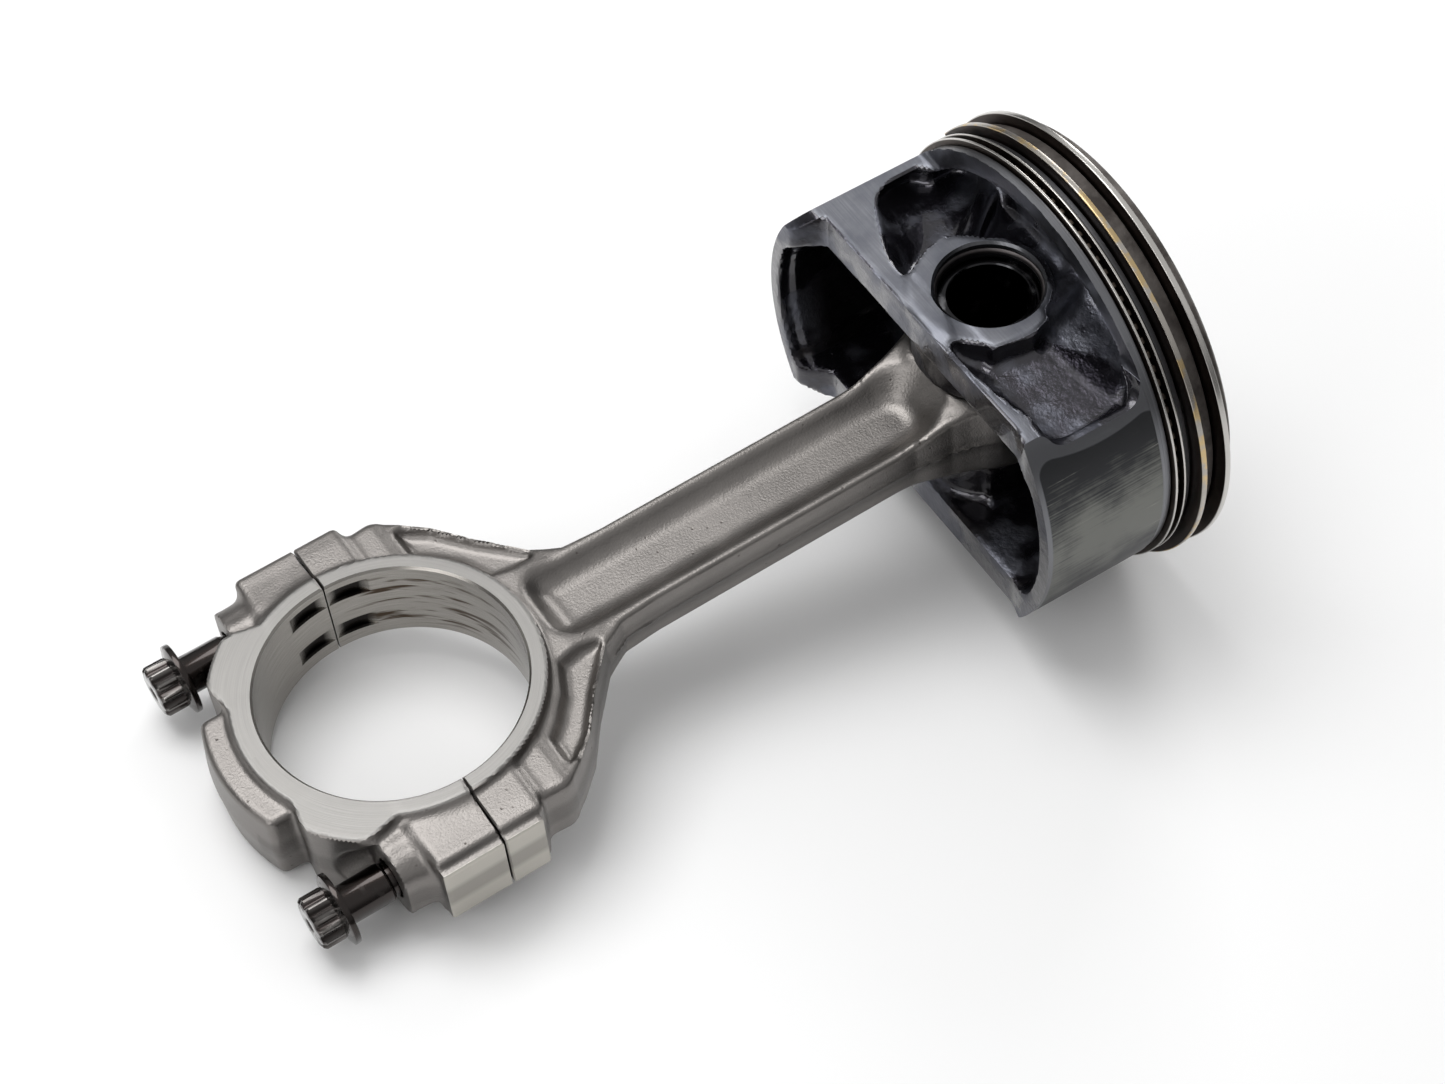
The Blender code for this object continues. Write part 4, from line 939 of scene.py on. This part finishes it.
profile = [(-30.0, SKIRT_R, 0), (BELT_LOW - 0.1, SKIRT_R, 0), (BELT_LOW, SKIRT_R - 0.1, 0),
           (BELT_LOW, LAND_R, 1)]
for number, (low, high) in enumerate(GROOVES):
    land = TOP_LAND_R if number == 2 else LAND_R
    profile += [(low - 0.12, LAND_R, 1), (low, LAND_R - 0.12, 2), (low, GROOVE_ROOT, 2),
                (high, GROOVE_ROOT, 2), (high, land - 0.12, 1 if number < 1 else 3),
                (high + 0.12, land, 1 if number < 1 else 3)]
profile += [(CROWN_TOP - 0.6, TOP_LAND_R, 3), (CROWN_TOP, TOP_LAND_R - 0.6, 3), (CROWN_TOP, 2.0, 3)]

piston_points, piston_faces = skin(piston_distance, (-24.5, -50.5, -50.5), (30.5, 50.5, 50.5),
                                   1.25 * SURFACE_CELL)
piston_piece = add_piece("ringed_piston", piston_points, piston_faces, IN_PISTON, [cast])
blank = turned_profile([(x, r) for x, r, _ in profile], [pick for _, _, pick in profile[:-1]], 720,
                       "piston_blank", [skirt_metal, land_metal, groove_metal, carbon], IN_PISTON)
carve(piston_piece, [blank], "INTERSECT")
inner = [(CLIP_MID - CLIP_GROOVE_HALF, PIN_BORE), (CLIP_MID - CLIP_GROOVE_HALF, CLIP_GROOVE_R),
         (CLIP_MID + CLIP_GROOVE_HALF, CLIP_GROOVE_R), (CLIP_MID + CLIP_GROOVE_HALF, PIN_BORE),
         (FACE - 0.5, PIN_BORE), (FACE + 0.5, PIN_BORE + 1.0), (FACE + 6.0, PIN_BORE + 1.0)]
rows = [(-x, r) for x, r in reversed(inner)] + inner
pin_bore = turned_profile(rows, [0] * (len(rows) - 1), 180, "pin_bore", [bore_metal], IN_PISTON, "Z")
cutters = [pin_bore]
for across, radius in ((VALVE_OFFSET, 16.5), (-VALVE_OFFSET, 14.0)):
    for face in (1.0, -1.0):
        lean = math.copysign(VALVE_TILT, across)
        turn = np.array(((math.cos(lean), -math.sin(lean), 0.0), (math.sin(lean), math.cos(lean), 0.0),
                         (0.0, 0.0, 1.0)))
        place = np.array((CROWN_TOP - VALVE_DEPTH, across, face * VALVE_OFFSET))
        frame_here = (IN_PISTON[0] @ turn, IN_PISTON[1] + IN_PISTON[0] @ place)
        cutters.append(turned_profile([(0.0, 1.0), (0.0, radius - 0.4), (0.4, radius), (9.0, radius)],
                                      [0] * 3, 120, "valve_pocket", [carbon], frame_here))
carve(piston_piece, cutters)
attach(piston_piece, "piston")
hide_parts("piston")


# ==================================================
# Compression rings: cast-iron rings, faced with chrome on top and left plain below, cut
# through at one place and sprung open. They lie loose in their grooves, off the middle.
# ==================================================
RING_OUT, RING_WALL, RING_HEIGHT = 48.19, 3.9, 1.2
RING_OFF = (-1.1, 0.6)
RING_OPENING, EDGE = 11.0, 0.16
TOP_RING_LOW, TOP_RING_GAP = 21.9, -35.0
SECOND_RING_LOW, SECOND_RING_GAP = 16.3, 28.0


def ring_finish(name, face, face_rough, side, patch=None, outer=RING_OUT, off=RING_OFF):
    """A bright rubbed outer face on a ring whose sides are brown-black with baked-on oil and painted shade.
    """
    made, tree, shader, place, (x, y, z) = new_finish(name, IN_PISTON)
    texture = use(tree, grain, {"Place": place, "Grain per mm": 2.5})
    radius, angle = polar(tree, minus(tree, y, off[0]), minus(tree, z, off[1]))
    rubbed = remap(tree, radius, outer - 0.30, outer - 0.14)
    cuts = cut_lines(tree, combine(tree, radius, angle, x), 9.0, 0.05)
    bright = two_tone(tree, cuts, scaled(face, 0.8), face)
    if patch is not None:
        cloud = noise(tree, place, 0.16, 3.0, 0.6)
        bright = mix_colour(tree, remap(tree, cloud, 0.50, 0.57), bright, patch)
    # The sides' colour is oil and painted shade together, as the sides sit down in the grooves.
    oil_and_shade = mix_colour(tree, remap(tree, texture["Cloud"], 0.35, 0.65), side, scaled(side, 2.4))
    colour = mix_colour(tree, rubbed, oil_and_shade, bright)
    shine(shader, colour, 1.0, mix_value(tree, rubbed, 0.42, face_rough))
    emboss(tree, shader, mix_value(tree, rubbed, texture["Height"], cuts), 0.3, 0.03)
    return made


def ring_grid(low, height, outer, wall, gap_at, opening, off, steps, edge=EDGE, wave=0.0, waves=0):
    """Sections round an open ring; wave cuts the outside back in a square rhythm.

    Each section is a rectangle height by wall with edges rounded by a circle arc.
    """
    turns = np.radians(gap_at + 0.5 * opening + np.linspace(0.0, 360.0 - opening, steps))
    corner = np.linspace(0.0, 0.5 * np.pi, 4)
    out, up = edge * np.sin(corner), edge * np.cos(corner)
    reach = np.concatenate((outer - edge + out, outer - edge + out[::-1], outer - wall + edge - out,
                            outer - wall + edge - out[::-1]))
    rise = np.concatenate((low + edge - up, low + height - edge + up[::-1],
                           low + height - edge + up, low + edge - up[::-1]))
    reach = reach[None, :] + 0.0 * turns[:, None]
    beat = np.clip(2.2 * np.sin(waves * turns), -1.0, 1.0)[:, None] if waves else 0.0
    reach = reach - 0.5 * wave * (1.0 + beat) * (reach > outer - 0.5 * wall)
    return np.stack((rise[None, :] + 0.0 * reach, off[0] + reach * np.cos(turns)[:, None],
                     off[1] + reach * np.sin(turns)[:, None]), axis=-1)


def make_ring(name, grid, finish, body, node):
    """One ring from its grid, riding its own body."""
    ring = add_grid(name, grid, IN_PISTON, [finish])
    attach(ring, body)
    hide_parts(node)


chromed = ring_finish("chrome_faced_iron", (0.66, 0.64, 0.61), 0.20, (0.022, 0.015, 0.012))
worn_iron = ring_finish("worn_ring_iron", (0.50, 0.47, 0.43), 0.26, (0.018, 0.013, 0.011),
                        (0.58, 0.44, 0.24))
make_ring("chromed_top_ring", ring_grid(TOP_RING_LOW, RING_HEIGHT, RING_OUT, RING_WALL, TOP_RING_GAP,
                                        RING_OPENING, RING_OFF, 540),
          chromed, "top_ring", "top_compression_ring")
make_ring("worn_second_ring", ring_grid(SECOND_RING_LOW, RING_HEIGHT, RING_OUT, RING_WALL, SECOND_RING_GAP,
                                        RING_OPENING, RING_OFF, 540),
          worn_iron, "second_ring", "second_compression_ring")


# ==================================================
# Oil ring: two thin chrome-edged steel rails, and between them a stainless expander folded
# into square waves that hold the rails apart and let the oil through.
# ==================================================
RAIL_OUT, RAIL_WALL, RAIL_HEIGHT, RAIL_OPENING = 46.99, 2.6, 0.5, 3.0
LOWER_RAIL_LOW, LOWER_RAIL_GAP = 11.7, -70.0
UPPER_RAIL_LOW, UPPER_RAIL_GAP = 13.7, 10.0
EXPANDER_OUT, EXPANDER_WALL, EXPANDER_LOW, EXPANDER_HEIGHT = 45.8, 2.6, 12.5, 0.9
EXPANDER_GAP, FOLDS, FOLD_DEPTH = 70.0, 96, 0.7
CENTRED = (0.0, 0.0)

rail_steel = ring_finish("chrome_edged_rail", (0.62, 0.60, 0.57), 0.22, (0.028, 0.022, 0.018), None,
                         RAIL_OUT, CENTRED)
folded = ring_finish("folded_stainless", (0.085, 0.070, 0.058), 0.32, (0.02, 0.016, 0.014), None,
                     EXPANDER_OUT, CENTRED)
for name, low, gap_at, body in (("lower_rail_strip", LOWER_RAIL_LOW, LOWER_RAIL_GAP, "lower_rail"),
                                ("upper_rail_strip", UPPER_RAIL_LOW, UPPER_RAIL_GAP, "upper_rail")):
    strip = ring_grid(low, RAIL_HEIGHT, RAIL_OUT, RAIL_WALL, gap_at, RAIL_OPENING, CENTRED, 540, 0.12)
    make_ring(name, strip, rail_steel, body, "oil_ring_" + body)
strip = ring_grid(EXPANDER_LOW, EXPANDER_HEIGHT, EXPANDER_OUT, EXPANDER_WALL, EXPANDER_GAP, RAIL_OPENING,
                  CENTRED, 1537, 0.10, FOLD_DEPTH, FOLDS)
make_ring("folded_expander", strip, folded, "expander", "oil_ring_expander")


# ==================================================
# Wrist pin: a hard ground steel tube that floats in the bosses and the bush. Its bore opens
# in a cone at each end to save weight; oil has dried dark on its ends and inside, which are
# painted darker still as shade.
# ==================================================
PIN_OUT, PIN_BORE_IN, PIN_MOUTH, PIN_CONE, PIN_END = 10.5, 6.5, 8.3, 12.0, 24.7


def pin_finish(name):
    """Ground steel outside; ends and bore stained brown-black under a wet film, and painted dark as shade."""
    made, tree, shader, place, (x, y, z) = new_finish(name, IN_PISTON)
    radius, angle = polar(tree, x, y)
    film = use(tree, oil, {"Place": place, "Per mm": 0.18, "Cover": 0.6})
    ground = cut_lines(tree, combine(tree, z, angle), 6.0, 0.08)
    outside = remap(tree, radius, PIN_OUT - 0.35, PIN_OUT - 0.15)
    # Ends and bore: dark grey as painted shade, near-black where oil lies.
    inside = mix_colour(tree, film["Mask"], (0.11, 0.11, 0.115), (0.035, 0.035, 0.037))
    steel = two_tone(tree, ground, (0.42, 0.42, 0.42), (0.54, 0.54, 0.53))
    shine(shader, mix_colour(tree, outside, inside, steel), 1.0,
          mix_value(tree, outside, mix_value(tree, film["Mask"], 0.34, 0.15), 0.12))
    emboss(tree, shader, ground, 0.2, 0.02)
    return made


def tube_ring(section, steps):
    """Quads of a closed section of (height, radius) points turned right round the Z axis."""
    heights, radii = np.array(section).T
    grid = round_body(heights, radii[:, None], np.linspace(0.0, math.tau, steps + 1)[:-1])
    number = np.arange(grid.shape[0] * steps).reshape(grid.shape[0], steps)
    above, ahead = np.roll(number, -1, axis=0), np.roll(number, -1, axis=1)
    quads = np.stack((number, ahead, np.roll(above, -1, axis=1), above), axis=-1)
    return grid.reshape(-1, 3), quads.reshape(-1, 4)


cone_start = PIN_END - PIN_CONE
pin_section = [(-PIN_END, PIN_OUT - 0.45), (0.15 - PIN_END, PIN_OUT - 0.2), (0.45 - PIN_END, PIN_OUT),
               (PIN_END - 0.45, PIN_OUT), (PIN_END - 0.15, PIN_OUT - 0.2), (PIN_END, PIN_OUT - 0.45),
               (PIN_END, PIN_MOUTH + 0.25), (PIN_END - 0.25, PIN_MOUTH),
               (cone_start + 0.6, PIN_BORE_IN + 0.09),
               (cone_start, PIN_BORE_IN), (-cone_start, PIN_BORE_IN), (-cone_start - 0.6, PIN_BORE_IN + 0.09),
               (0.25 - PIN_END, PIN_MOUTH), (-PIN_END, PIN_MOUTH + 0.25)]
pin_points, pin_quads = tube_ring(pin_section, 180)
pin_piece = add_piece("floating_wrist_pin", pin_points, pin_quads, IN_PISTON, [pin_finish("ground_steel")])
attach(pin_piece, "pin")
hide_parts("wrist_pin")


# ==================================================
# Small-end bush: a thin bronze sleeve pressed into the rod's eye, with an oil groove round
# its middle; the pin turns in it.
# ==================================================
BUSH_IN, BUSH_OUT, BUSH_END = 10.8, 11.9, 9.6


def bronze_finish(name):
    """Bored bronze, browned where the pin doesn't rub."""
    made, tree, shader, place, (x, y, z) = new_finish(name, IN_ROD)
    angle = polar(tree, minus(tree, x, ROD_CENTRES), y)[1]
    cuts = cut_lines(tree, combine(tree, z, angle), 5.0, 0.08)
    film = use(tree, oil, {"Place": place, "Per mm": 0.2, "Cover": 0.5})
    bronze = two_tone(tree, cuts, (0.42, 0.27, 0.12), (0.55, 0.37, 0.18))
    shine(shader, mix_colour(tree, film["Mask"], bronze, (0.16, 0.09, 0.045)), 1.0,
          mix_value(tree, film["Mask"], 0.32, 0.2))
    emboss(tree, shader, cuts, 0.3, 0.03)
    return made


bush_section = [(-BUSH_END, BUSH_OUT - 0.2), (0.2 - BUSH_END, BUSH_OUT), (BUSH_END - 0.2, BUSH_OUT),
                (BUSH_END, BUSH_OUT - 0.2), (BUSH_END, BUSH_IN + 0.25), (BUSH_END - 0.25, BUSH_IN),
                (1.0, BUSH_IN), (0.9, BUSH_IN + 0.4), (-0.9, BUSH_IN + 0.4), (-1.0, BUSH_IN),
                (0.25 - BUSH_END, BUSH_IN), (-BUSH_END, BUSH_IN + 0.25)]
bush_points, bush_quads = tube_ring(bush_section, 144)
bush_piece = add_piece("bronze_bush", bush_points + (ROD_CENTRES, 0.0, 0.0), bush_quads, IN_ROD,
                       [bronze_finish("bush_bronze")])
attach(bush_piece, "rod")
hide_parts("small_end_bush")


# ==================================================
# Circlips: round spring wire, sprung open into the grooves just outside the pin's ends.
# Blackened and oily like everything round them; the gap faces the piston's open end.
# ==================================================
WIRE, CLIP_RING, CLIP_OPENING, CLIP_HEIGHT = 0.75, 11.0, 38.0, 25.75


def clip_grid(height):
    """Circles of wire along an arc about the pin's axis, drawn in to a point at both ends."""
    share = np.linspace(0.0, 1.0, 181)
    turns = np.radians(180.0 + 0.5 * CLIP_OPENING + share * (360.0 - CLIP_OPENING))
    wire = WIRE * np.sqrt(np.clip(1.0 - (1.0 - np.clip(np.minimum(share, 1.0 - share) * 90.0, 0.0, 1.0)) ** 2,
                                  0.08, 1.0))
    loop = np.linspace(0.0, math.tau, 25)[:-1]
    reach = CLIP_RING + wire[:, None] * np.cos(loop)
    return np.stack((reach * np.cos(turns)[:, None], reach * np.sin(turns)[:, None],
                     height - wire[:, None] * np.sin(loop)), axis=-1)


spring_wire = ring_finish("black_spring_wire", (0.20, 0.19, 0.18), 0.22, (0.035, 0.032, 0.032), None, 60.0,
                          CENTRED)
for name, height, node in (("upper_circlip", CLIP_HEIGHT, "circlip_upper"),
                           ("lower_circlip", -CLIP_HEIGHT, "circlip_lower")):
    clip = add_grid(name, clip_grid(height), IN_PISTON, [spring_wire], sharp=60.0)
    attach(clip, "piston")
    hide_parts(node)
